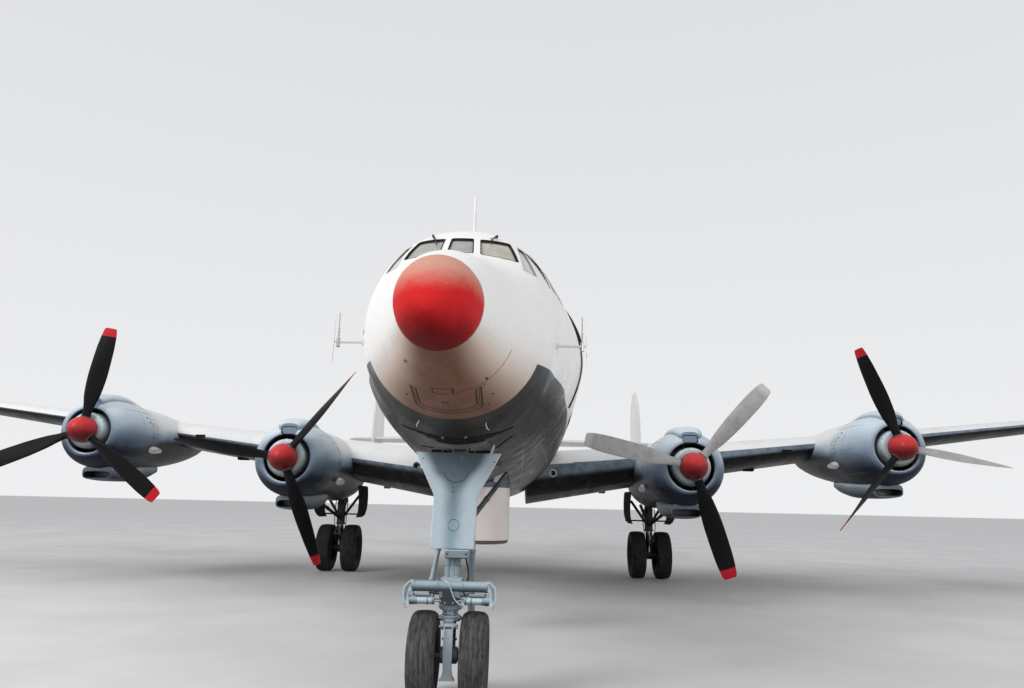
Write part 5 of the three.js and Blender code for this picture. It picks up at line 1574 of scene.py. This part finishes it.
# The turning part of the nose gear: piston, bolted collars, knuckle and the flat link in front

yoke = Shape()
yoke.join(rod(near_nose(0, 0, NOSE_RADIUS), near_nose(0, 0, 0.868), 0.062, 40, paint=1, chamfer=0.1))
yoke.join(rod(near_nose(-0.087, 0, NOSE_RADIUS), near_nose(0.087, 0, NOSE_RADIUS), 0.080, 40))
for low, high, radius in ((0.738, 0.792, 0.104), (0.845, 0.895, 0.108), (0.798, 0.812, 0.082),
                          (0.822, 0.836, 0.080), (0.555, 0.575, 0.074)):
    yoke.join(rod(near_nose(0, 0, low), near_nose(0, 0, high), radius, 40, chamfer=0.06))
for middle_height in (0.765, 0.870):
    for degrees in (-88, -62, 62, 88, 118, 242):
        a = math.radians(degrees)
        away = Vector((math.sin(a), -math.cos(a), 0))
        at = near_nose(0.098 * math.sin(a), 0.098 * math.cos(a), middle_height)
        yoke.join(rod(at, at + away * 0.018, 0.017, 12, chamfer=0.2))
        yoke.join(bolt(at + away * 0.016, away, 0.010, 0.009, paint=1))
yoke.join(rod(near_nose(-0.080, 0.155, 0.705), near_nose(0.080, 0.155, 0.705), 0.024, 24))
for side in (1, -1):
    yoke.join(bolt(near_nose(side * 0.080, 0.155, 0.705), (side, 0, 0), 0.017, 0.013, paint=1))
    middle = side * 0.056
    yoke.join(rod(near_nose(middle - 0.008, 0.155, 0.705), near_nose(middle + 0.008, 0.155, 0.705), 0.033,
                  24))
yoke.join(slab(near_nose(-0.045, 0.13, 0.68), near_nose(0.045, 0.05, 0.76), 0.008))
yoke.join(slab(near_nose(-0.040, 0.14, 0.38), near_nose(0.040, 0.06, 0.45), 0.008))
strap = [(0.045, 0.728), (0.046, 0.62), (0.042, 0.30), (0.052, 0.25), (0.080, 0.207)]
yoke.join(prism(rounded(strap + flipped(strap), 0.012, 4), "Y", nose_y - 0.165, nose_y - 0.128, paint=3))
for side in (1, -1):
    web = [(side * 0.034, 0.715), (side * 0.046, 0.715), (side * 0.042, 0.30), (side * 0.054, 0.24),
           (side * 0.040, 0.24), (side * 0.030, 0.30)]
    yoke.join(prism(rounded(web, 0.004, 3), "Y", nose_y - 0.184, nose_y - 0.150, paint=3))
for z in (0.34, 0.47, 0.60):
    yoke.join(bolt(near_nose(0.0, 0.165, z), (0, -1, 0), 0.008, 0.006, paint=1))
for x in (-0.055, 0.055):
    yoke.join(bolt(near_nose(x, 0.165, 0.226), (0, -1, 0), 0.010, 0.009, paint=1))
piece(yoke, "yoke_and_link", [gear_paint, metal_bare, metal_dark, link_pale], body="nose_steering",
      slot="gear_paint",
      replaces="nose_steering_yoke")

# The leg, which leans aft above its foot

LEG_BEND, LEG_TOP, LEG_LEAN = 0.95, 2.95, 0.371


def leg_aft(z):
    return max(0.0, z - LEG_BEND) * LEG_LEAN


def near_leg(x, forward, z):
    return near_nose(x, forward - leg_aft(z), z)


def behind(point):
    """A point of the nose gear: across, aft of the axle, and up."""
    x, aft, z = point
    return Vector((x, nose_y + aft, z))


leg = tube([near_leg(0, 0, z) for z in (0.905, 0.912, 0.94, 0.97, 1.1, LEG_TOP)],
           [0.073, 0.080, 0.080, 0.080, 0.080, 0.080], 48)
axis = Vector((0, LEG_LEAN, 1)).normalized()
for z, radius in ((1.50, 0.092), (1.56, 0.092), (1.80, 0.088), (2.40, 0.088)):
    leg.join(rod(near_leg(0, 0, z), near_leg(0, 0, z) + axis * 0.035, radius, 40, chamfer=0.08))
leg.join(rod(near_leg(-0.479, 0, 2.87), near_leg(0.479, 0, 2.87), 0.060, 32))
for side in (1, -1):
    lobe = [near_leg(side * 0.048, 0.060, z) for z in (1.08, 1.09, 1.26, 1.43, 1.44)]
    leg.join(tube(lobe, [0.028, 0.034, 0.034, 0.034, 0.028], 36))
    for z in (1.13, 1.25):
        leg.join(rod(near_leg(side * 0.048, 0.060, z), near_leg(side * 0.048, 0.060, z + 0.02),
                     0.040, 32, chamfer=0.08))
    leg.join(bolt(near_nose(side * 0.108, 0, 1.09), (side, 0, 0), 0.040, 0.014))
leg.join(rod(near_nose(-0.108, 0, 1.09), near_nose(0.108, 0, 1.09), 0.062, 36))
leg.join(slab(near_nose(-0.07, 0.15, 1.34), near_nose(0.17, -0.10, 1.425), 0.010, paint=1))
for x in (-0.045, 0.145):
    leg.join(bolt(near_nose(x, 0.15, 1.385), (0, -1, 0), 0.010, 0.008))
for top, foot_at, radius in (((0.153, 0.41, 2.0), (0.18, 0.49, 0.73), 0.038),
                             ((-0.105, 0.30, 1.78), (-0.225, 0.03, 1.01), 0.024)):
    leg.join(rod(behind(top), behind(foot_at), radius, 28))
    along = (behind(top) - behind(foot_at)).normalized()
    for t in (0.12, 0.5):
        at = behind(foot_at).lerp(behind(top), t)
        leg.join(rod(at, at + along * 0.04, radius * 1.22, 28, chamfer=0.1))
for start, end, radius in (((0, leg_aft(2.0), 2.0), (0.153, 0.41, 2.0), 0.038),
                           ((0, 0, 0.965), (0.175, 0.475, 0.965), 0.038),
                           ((0, 0, 0.985), (-0.225, 0.03, 1.01), 0.024)):
    leg.join(rod(behind(start), behind(end), radius, 24))
for path in ([(0.10, -0.02, 1.45), (0.135, 0.10, 1.8), (0.12, 0.30, 2.2), (0.10, 0.55, 2.75)],
             [(-0.10, -0.02, 1.45), (-0.13, 0.12, 1.9), (-0.11, 0.34, 2.3), (-0.09, 0.58, 2.8)],
             [(0.10, -0.08, 1.05), (0.17, -0.06, 1.16), (0.14, 0.02, 1.32), (0.10, 0.10, 1.48)]):
    leg.join(tube(smooth_path([behind(p) for p in path], 8), 0.009, 10, paint=2))
piece(leg, "leg_tubes", [gear_paint, gear_paint, boot_rubber], slot="gear_paint", replaces="nose_leg")

# The steering beam: a cross tube with hooked arms, and a cylinder on each side

TUBE_HEIGHT, CYLINDER_HEIGHT = 1.078, 0.946


def across_beam(start, end, z, radius, sides, paint=0, chamfer=0.15):
    """A round bar across the plane, in the beam's upright plane."""
    return rod(near_nose(start, 0.17, z), near_nose(end, 0.17, z), radius, sides, paint, chamfer)


beam = across_beam(-0.378, 0.378, TUBE_HEIGHT, 0.051, 40)
ARM = [(0.352, 1.131), (0.395, 1.131), (0.451, 1.075), (0.457, 0.985), (0.431, 0.893), (0.386, 0.893),
       (0.401, 0.985), (0.391, 1.035), (0.352, 1.052)]
ARM_INSET = [(0.372, 1.115), (0.392, 1.115), (0.436, 1.068), (0.441, 0.99), (0.427, 0.93), (0.417, 0.98),
             (0.407, 1.05)]
for side in (1, -1):
    arm = [(side * x, z) for x, z in rounded(ARM, 0.016, 4)]
    beam.join(prism(arm, "Y", nose_y - 0.213, nose_y - 0.127, paint=4))
    inset = [(side * x, z) for x, z in rounded(ARM_INSET, 0.008, 3)]
    beam.join(prism(inset, "Y", nose_y - 0.217, nose_y - 0.20))
    for start, end, radius, sides, paint in ((0.335, 0.425, 0.043, 32, 0), (0.165, 0.39, 0.037, 32, 4),
                                             (0.08, 0.20, 0.014, 20, 1), (0.148, 0.164, 0.041, 28, 0),
                                             (0.205, 0.221, 0.041, 28, 0), (0.315, 0.331, 0.041, 28, 0)):
        beam.join(across_beam(side * start, side * end, CYLINDER_HEIGHT, radius, sides, paint))
    beam.join(slab(near_nose(side * 0.19, 0.205, 0.986), near_nose(side * 0.345, 0.175, 1.012), 0.006))
    beam.join(tube([near_nose(side * 0.18, 0.185, 0.998), near_nose(side * 0.36, 0.185, 1.004)], 0.009, 10,
                   paint=3))
    beam.join(bolt(near_nose(side * 0.436, 0.213, 0.91), (0, -1, 0), 0.011, 0.010, paint=1))
    beam.join(rod(near_nose(side * 0.43, 0.17, 0.895), near_nose(side * 0.43, 0.17, 0.868), 0.010, 12,
                  paint=1))
    for x in (0.115, 0.345):
        beam.join(across_beam(side * x, side * (x + 0.018), TUBE_HEIGHT, 0.056, 36, chamfer=0.06))
beam.join(slab(near_nose(-0.105, 0.195, 0.965), near_nose(0.105, 0.115, 1.105), 0.012))
beam.join(slab(near_nose(-0.105, 0.16, 0.908), near_nose(0.105, 0.02, 0.97), 0.010))
wedge = [(-0.075, 1.10), (-0.02, 1.10), (0.065, 0.925), (0.065, 0.906), (-0.065, 0.906), (-0.065, 0.95)]
beam.join(prism(rounded(wedge, 0.012, 4), "Y", nose_y - 0.212, nose_y - 0.19, paint=2))
for x, z in ((-0.045, 1.07), (-0.04, 0.93), (0.04, 0.93), (0.075, 1.08), (0.085, 0.985)):
    beam.join(bolt(near_nose(x, 0.205, z), (0, -1, 0), 0.009, 0.010, paint=1))
pipe = [(-0.055, 0.185, 1.13), (-0.01, 0.225, 1.11), (0.02, 0.225, 1.04), (0.05, 0.22, 0.97),
        (0.10, 0.22, 0.92), (0.125, 0.20, 0.90)]
hose = [(0.16, 0.19, 0.985), (0.135, 0.20, 1.03), (0.10, 0.19, 1.05)]
for side, line, radius, paint in ((1, pipe, 0.007, 4), (1, hose, 0.008, 3), (-1, hose, 0.008, 3)):
    path = [near_nose(side * x, forward, z) for x, forward, z in line]
    beam.join(tube(smooth_path(path, 8), radius, 10, paint))
piece(beam, "steering_beam_parts", [gear_paint, metal_bare, gear_dark, boot_rubber, link_pale],
      slot="gear_paint",
      replaces="nose_steering_beam")

# The fairing plate in front of the leg, with rolled edges, rivets and a pressed ring


def plate_finish():
    """Blue grey paint, pale towards the edges, with a dark top that narrows to a stem down the middle."""
    f = Finish("plate_paint")
    cloud = f.band(f.noise(4.0, 6.0, 0.65), 0.35, 0.75)
    pale = f.mix(f.times(cloud, 0.4), (0.40, 0.475, 0.525), (0.28, 0.335, 0.375))
    dark = f.mix(f.band(f.z, 1.55, 2.35), (0.20, 0.28, 0.33), (0.070, 0.098, 0.112))
    wander = f.times(f.math("SUBTRACT", f.noise(3.0, 4.0), 0.5), 0.10)
    half = f.plus(f.times(f.band(f.z, 1.95, 2.45), 0.26), wander)
    away = f.math("SUBTRACT", f.math("ABSOLUTE", f.plus(f.x, 0.02)), half)
    tone = f.mix(f.band(away, 0.0, 0.15), dark, pale)
    drip = f.band(f.noise(14.0, 5.0, 0.7, (1.0, 1.0, 0.12)), 0.55, 0.75)
    tone = f.mix(f.times(drip, 0.25), tone, (0.38, 0.43, 0.45))
    f.bump(f.noise(6.0, 3.0), 0.15, 0.006)
    return f.finish(tone, f.band(cloud, 0.0, 1.0, 0.34, 0.5), coat=0.05, specular=0.4)


PLATE_LOW, PLATE_HIGH, PLATE_SLOPE = 1.43, 2.41, 0.408
PLATE_EDGE = [(0.455, PLATE_HIGH), (0.425, 2.345), (0.345, 2.185), (0.262, 2.030), (0.238, 1.985),
              (0.2265, 1.945), (0.2235, 1.80), (0.2185, 1.50), (0.217, PLATE_LOW)]


def on_plate(x, z, back=0.0):
    """A point on the plate's front, which leans aft."""
    return near_nose(x, 0.120 - (z - PLATE_LOW) * PLATE_SLOPE - back, z)


plate_paint = plate_finish()
edge = [tuple(p) for p in smooth_path(PLATE_EDGE, 3)]
outline = edge + flipped(edge)
rings = []
for inset, back in ((0.006, 0.0), (0.0, 0.006), (0.0, 0.019), (0.006, 0.025)):
    ring = []
    for x, z in outline:
        point = on_plate(math.copysign(abs(x) - inset, x), z, back)
        point.z = min(max(z, PLATE_LOW + inset), PLATE_HIGH - inset)
        ring.append(point)
    rings.append(ring)
plate = loft(rings)
for z in (1.65, 2.20):
    plate.join(rod(on_plate(0, z, 0.050), near_leg(0, 0.08, z), 0.055, 24, paint=1))
for side in (1, -1):
    plate.join(tube([on_plate(side * (x - 0.008), z, 0.02) for x, z in edge], 0.012, 10))
out = Vector((0, -1, -PLATE_SLOPE)).normalized()
for x, z in ((-0.376, 2.34), (-0.183, 2.194), (0.39, 2.312), (-0.033, 1.992), (-0.033, 2.035)):
    plate.join(bolt(on_plate(x, z), out, 0.008, 0.004, paint=1))
for x in (-0.172, 0.172):
    top = on_plate(x, 2.40)
    plate.join(rod(top + Vector((0, 0.01, -0.015)), top + Vector((0, 0.02, 0.035)), 0.009, 12, paint=1))
plate.join(tube([on_plate(-(x - 0.004), z, 0.006) for x, z in edge], 0.0065, 8, paint=2))
for x, z, radius, low, high, width in ((0.0, 1.66, 0.057, 0.0, 2 * math.pi, 0.004),
                                       (-0.01, 2.225, 0.134, 0.55 * math.pi, 1.45 * math.pi, 0.007)):
    path = [on_plate(x + radius * math.sin(a), z + radius * math.cos(a))
            for a in np.linspace(low, high, 91)]
    plate.join(ribbon(path, [out] * len(path), width, 0.002, paint=1))
plate.join(rod(on_plate(0.335, 2.36, 0.012), (0.372, from_nose(3.55), 2.505), 0.014, 16, paint=2))
piece(plate, "fairing_plate_panel", [plate_paint, gear_dark, link_pale], slot="gear_paint",
      replaces="nose_fairing_plate")

# The drag brace: two arms that spread from the leg to the belly behind the well

brace = Shape()
for side in (1, -1):
    start = near_leg(0, 0, 1.60) + Vector((side * 0.07, 0.03, 0.0))
    end = Vector((side * 0.515, nose_y + 2.4, 2.32))
    reach = end - start
    stop = start + reach * 0.94
    brace.join(rod(start, stop, 0.030, 28))
    for t in (0.06, 0.45, 0.86):
        at = start.lerp(end, t)
        brace.join(rod(at, at + reach.normalized() * 0.06, 0.036, 28, chamfer=0.1, paint=1))
    for t in (0.46, 0.47):
        at = start.lerp(end, t)
        brace.join(bolt(at, (side, 0.2, 0.1), 0.012, 0.040, paint=1))
piece(brace, "drag_brace_arms", [gear_dark, metal_dark], slot="black_paint", replaces="nose_drag_brace")

# Main gear: twin wheels, a braced leg between them, and bowed doors

MAIN_OUT, MAIN_AFT, MAIN_RADIUS, MAIN_TOP = 4.27, 16.74, 0.62, 1.93
DOOR_OUT, DOOR_WALL = 0.605, 0.026
main_pair = wheel(MAIN_RADIUS, 0.38, 0.34, 5, True).join(wheel(MAIN_RADIUS, 0.38, -0.34, 5, True))
main_pair.join(rod((-0.34, 0, 0), (0.34, 0, 0), 0.060, 32, paint=2))
for name, side in SIDES.items():
    centre = Vector((side * MAIN_OUT, from_nose(MAIN_AFT), 0))

    def near_main(x, aft, z):
        return centre + Vector((x, aft, z))

    piece_at(main_pair, near_main(0, 0, MAIN_RADIUS), f"main_tyres_{name}",
             [tyre_dark, gear_dark, metal_dark],
             body=f"main_wheel_pair_{name}", slot="tyre_rubber", replaces=f"main_wheels_{name}")
    leg = rod(near_main(0, 0, MAIN_RADIUS), near_main(0, 0, 1.26), 0.090, 40, paint=1, chamfer=0.1)
    leg.join(rod(near_main(0, 0, 1.245), near_main(0, 0, MAIN_TOP + 0.02), 0.112, 48, chamfer=0.1))
    leg.join(rod(near_main(-0.12, 0, MAIN_RADIUS), near_main(0.12, 0, MAIN_RADIUS), 0.120, 40, chamfer=0.1))
    for z in (1.25, 1.52, 1.80):
        leg.join(rod(near_main(0, 0, z), near_main(0, 0, z + 0.04), 0.128, 48, chamfer=0.06))
    for x in (-0.42, 0.42):
        leg.join(rod(near_main(0, -0.06, 1.40), near_main(x, -1.30, MAIN_TOP), 0.040, 28))
        leg.join(rod(near_main(x * 0.5, -0.68, 1.665), near_main(x * 0.54, -0.73, 1.687), 0.050, 28,
                     chamfer=0.1))
        leg.join(rod(near_main(0, 0.02, 1.36), near_main(x * 1.12, 0.10, 2.06), 0.036, 28))
    for x in (-0.05, 0.05):
        for link in ([(-0.10, 1.28), (-0.10, 1.20), (-0.33, 0.99), (-0.37, 1.02)],
                     [(-0.37, 0.98), (-0.32, 1.02), (-0.09, 0.74), (-0.09, 0.66)]):
            line = rounded([(centre.y + aft, z) for aft, z in link], 0.02, 3)
            leg.join(prism(line, "X", centre.x + x - 0.014, centre.x + x + 0.014))
    leg.join(rod(near_main(-0.08, -0.35, 1.0), near_main(0.08, -0.35, 1.0), 0.026, 24))
    for path in ([(0.16, 0.02, 1.9), (0.17, -0.05, 1.6), (0.16, -0.08, 1.3), (0.11, -0.06, 0.95),
                  (0.12, 0.0, 0.72)],
                 [(-0.16, 0.02, 1.9), (-0.17, -0.05, 1.6), (-0.15, -0.09, 1.3), (-0.11, -0.08, 0.95),
                  (-0.12, 0.0, 0.72)]):
        leg.join(tube(smooth_path([near_main(*p) for p in path], 8), 0.011, 10, paint=2))
    piece(leg, f"main_leg_tubes_{name}", [gear_dark, metal_bare, boot_rubber], slot="gear_paint",
          replaces=f"main_leg_{name}")
    doors = Shape()
    door_line = [(-0.68, 2.30), (-0.62, 1.62), (-0.42, 1.44), (0.43, 1.44), (0.60, 2.30)]
    panel_line = rounded([(centre.y + a, z) for a, z in door_line], 0.10, 5)
    bow = [tuple(p) for p in smooth_path([(0.500, 1.43), (0.560, 1.50), (0.604, 1.62), (0.620, 1.80),
                                          (0.614, 2.02), (0.585, 2.32)], 5)]
    for x in (-DOOR_OUT, DOOR_OUT):
        hand = math.copysign(1.0, x)
        strip = [(centre.x + hand * a, z) for a, z in bow]
        strip += [(centre.x + hand * (a - DOOR_WALL), z) for a, z in reversed(bow)]
        if hand < 0:
            strip.reverse()
        leaf = object_from(prism(strip, "Y", centre.y - 0.75, centre.y + 0.65), "door_leaf", [black_and_shade])
        cut(leaf, prism(panel_line, "X", centre.x + x - 0.3, centre.x + x + 0.3), black_and_shade, "INTERSECT")
        doors.join(shape_of(leaf))
        for aft in (-0.42, -0.05, 0.32):
            doors.join(slab(near_main(x * 0.955, aft - 0.02, 1.50), near_main(x * 0.975, aft + 0.02, 1.92),
                            0.004))
    doors.join(rod(near_main(-0.6, 0.32, 1.52), near_main(0.6, 0.32, 1.52), 0.020, 20))
    piece(doors, f"gear_doors_{name}", [black_and_shade], slot="cowl_paint", replaces=f"main_doors_{name}")

# Drum radome under the belly, and the mast on the roof

DRUM_Y, DRUM_RADIUS = from_nose(7.0), 0.52
drum = Shape()
white_part = smooth_path([(0.470, 1.345), (0.498, 1.350), (0.514, 1.366), (DRUM_RADIUS, 1.40),
                          (DRUM_RADIUS, 1.80), (DRUM_RADIUS, 2.13)], 4)
foot = [(0.0, 1.300), (0.43, 1.300), (0.475, 1.306), (0.500, 1.320), (0.508, 1.345), (0.508, 1.355),
        (0.0, 1.355)]
top_band = [(0.0, 2.12), (DRUM_RADIUS + 0.0005, 2.12), (DRUM_RADIUS + 0.0005, 2.26), (0.51, 2.27),
            (0.0, 2.27)]
for line, paint in (([(0.0, 1.345), *white_part, (0.0, 2.13)], 0), (foot, 2), (top_band, 1)):
    drum.join(lathe(line, 72, paint, (0, DRUM_Y, 0), "Z"))
for a in turns(24):
    spot = Vector((DRUM_RADIUS * math.sin(a), DRUM_Y + DRUM_RADIUS * math.cos(a), 2.19))
    drum.join(bolt(spot, (math.sin(a), math.cos(a), 0), 0.009, 0.006, paint=3))
piece(drum, "drum_shell", [drum_white, drum_band, rust_brown, metal_dark], replaces="belly_radome")

mast_y = from_nose(4.7)
mast = tube([(0, mast_y, z) for z in (5.16, 5.20, 5.24, 5.28)], [0.058, 0.056, 0.048, 0.034], 28)
mast.join(tube([(0, mast_y, z) for z in (5.2, 5.4, 5.885, 5.90)], [0.024, 0.021, 0.0125, 0.008], 20))
piece(mast, "roof_mast_tubes", [wing_white], replaces="roof_mast")

# Side aerials on the nose: an arm on each side with thin upright rods at its end

aerials = Shape()
for side in (1, -1):
    root = Vector((side * (side_of_hull(3.08, 3.53) - 0.02), from_nose(3.08), 3.53))
    end = root + Vector((side * 0.29, 0, 0))
    aerials.join(rod(root, end, 0.014, 16))
    aerials.join(rod(root, root + Vector((side * 0.035, 0, 0)), 0.035, 20))
    for low, high, radius, sides in ((-0.055, 0.045, 0.020, 16), (0.03, 0.32, 0.0065, 10),
                                     (0.07, 0.086, 0.012, 12),
                                     (0.10, 0.116, 0.012, 12), (0.13, 0.146, 0.012, 12)):
        aerials.join(rod(end + Vector((0, 0, low)), end + Vector((0, 0, high)), radius, sides, paint=1))
    thin = end + Vector((side * 0.045, 0, 0))
    aerials.join(tube([thin + Vector((side * 0.008, 0, -0.235)), thin,
                       thin + Vector((-side * 0.006, 0, 0.30))],
                      [0.0025, 0.004, 0.0025], 8, paint=1))
    aerials.join(rod(end, thin, 0.006, 8, paint=1))
wire_root = Vector((-side_of_hull(3.08, 3.53), from_nose(3.05), 3.545))
wire = [wire_root, wire_root + Vector((0.03, -0.06, 0.008)), on_side(-1, 2.86, 3.57, 0.004),
        on_side(-1, 2.78, 3.60, 0.003)]
aerials.join(tube(smooth_path(wire, 6), 0.004, 8, paint=2))
piece(aerials, "side_aerials", [drum_white, metal_bare, exhaust_pale], slot="engine_metal")

# Small fittings under the nose and on the belly

belly = belly_height(6.1, 0.4)
fittings = slab((0.30, from_nose(6.05), belly - 0.10), (0.44, from_nose(6.2), belly + 0.05), 0.015, paint=1)
for x, aft in ((0.34, 1.75), (-0.30, 1.35), (0.10, 3.0), (-0.14, 3.05)):
    at = Vector(under(x, aft))
    out = skin_normal(at)
    fittings.join(rod(at - out * 0.01, at + out * 0.014, 0.016, 14))
fittings.join(slab((-0.08, from_nose(5.18), 2.20), (0.08, from_nose(5.34), 2.36), 0.006))
piece(fittings, "belly_fittings", [line_dark, exhaust_pale], slot="black_paint")

# Floor, sky, soft light and the camera


def floor_finish():
    f = Finish("pale_floor")
    cloud = f.noise(0.35, 5.0, 0.6)
    tone = f.mix(f.band(cloud, 0.35, 0.7), (0.60, 0.595, 0.585), (0.67, 0.665, 0.655))
    f.bump(f.noise(20.0, 4.0), 0.04, 0.004)
    return f.finish(tone, 0.85, specular=0.2)


FLOOR_REACH = 600.0
FLOOR_DROP = 0.002
lines = [-FLOOR_REACH, -60.0, -20.0, 20.0, 60.0, FLOOR_REACH]
rows = [[(x, y, -FLOOR_DROP) for x in lines] for y in lines]
floor = object_from(loft(rows, caps=(False, False), closed=False), "floor", [floor_finish()])
floor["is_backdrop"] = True

world = bpy.data.worlds.new("studio")
bpy.context.scene.world = world
world.use_nodes = True
sky = world.node_tree.nodes["Background"]
place = world.node_tree.nodes.new("ShaderNodeTexCoord")
split = world.node_tree.nodes.new("ShaderNodeSeparateXYZ")
ramp = world.node_tree.nodes.new("ShaderNodeMapRange")
mixed = world.node_tree.nodes.new("ShaderNodeMix")
mixed.data_type = "RGBA"
world.node_tree.links.new(place.outputs["Generated"], split.inputs[0])
world.node_tree.links.new(split.outputs[2], ramp.inputs["Value"])
ramp.inputs["From Min"].default_value, ramp.inputs["From Max"].default_value = 0.0, 0.6
world.node_tree.links.new(ramp.outputs[0], mixed.inputs[0])
tones = [s for s in mixed.inputs if s.type == "RGBA"]
tones[0].default_value = (0.86, 0.865, 0.875, 1)
tones[1].default_value = (0.73, 0.74, 0.77, 1)
world.node_tree.links.new([s for s in mixed.outputs if s.type == "RGBA"][0], sky.inputs["Color"])
sky.inputs["Strength"].default_value = 1.0


def soft_light(name, place_at, target, size, power):
    lamp = bpy.data.lights.new(name, "AREA")
    lamp.shape, lamp.size, lamp.size_y, lamp.energy = "RECTANGLE", size[0], size[1], power
    holder = bpy.data.objects.new(name, lamp)
    holder.location = place_at
    aim = Vector(target) - Vector(place_at)
    holder.rotation_euler = aim.to_track_quat("-Z", "Y").to_euler()
    bpy.context.scene.collection.objects.link(holder)


soft_light("key", (-26, -34, 24), (0, -14, 3), (16, 16), 9000)
soft_light("fill", (22, -38, 10), (0, -14, 3), (14, 10), 1600)

EYE, YAW, PITCH, ROLL = (0.654, -22.812, 1.874), -0.013, 0.210, 0.023
PICTURE_WIDTH, FOCAL_LENGTH = 1024, 754.5  # in pixels
SENSOR_WIDTH = 36.0
forwards = Vector((math.sin(YAW), math.cos(YAW), 0))
right = Vector((math.cos(YAW), -math.sin(YAW), 0))
up = Vector((0, 0, 1))
ahead = math.cos(PITCH) * forwards + math.sin(PITCH) * up
above = -math.sin(PITCH) * forwards + math.cos(PITCH) * up
camera_x = math.cos(ROLL) * right + math.sin(ROLL) * above
camera_y = -math.sin(ROLL) * right + math.cos(ROLL) * above
lens = bpy.data.cameras.new("camera")
lens.sensor_fit, lens.sensor_width = "HORIZONTAL", SENSOR_WIDTH
lens.lens = FOCAL_LENGTH / PICTURE_WIDTH * SENSOR_WIDTH
lens.clip_end = 2000
camera = bpy.data.objects.new("camera", lens)
turn = Matrix((camera_x, camera_y, -ahead)).transposed().to_4x4()
camera.matrix_world = Matrix.Translation(EYE) @ turn
bpy.context.scene.collection.objects.link(camera)
bpy.context.scene.camera = camera
bpy.context.scene.view_settings.view_transform = "Standard"

low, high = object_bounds()
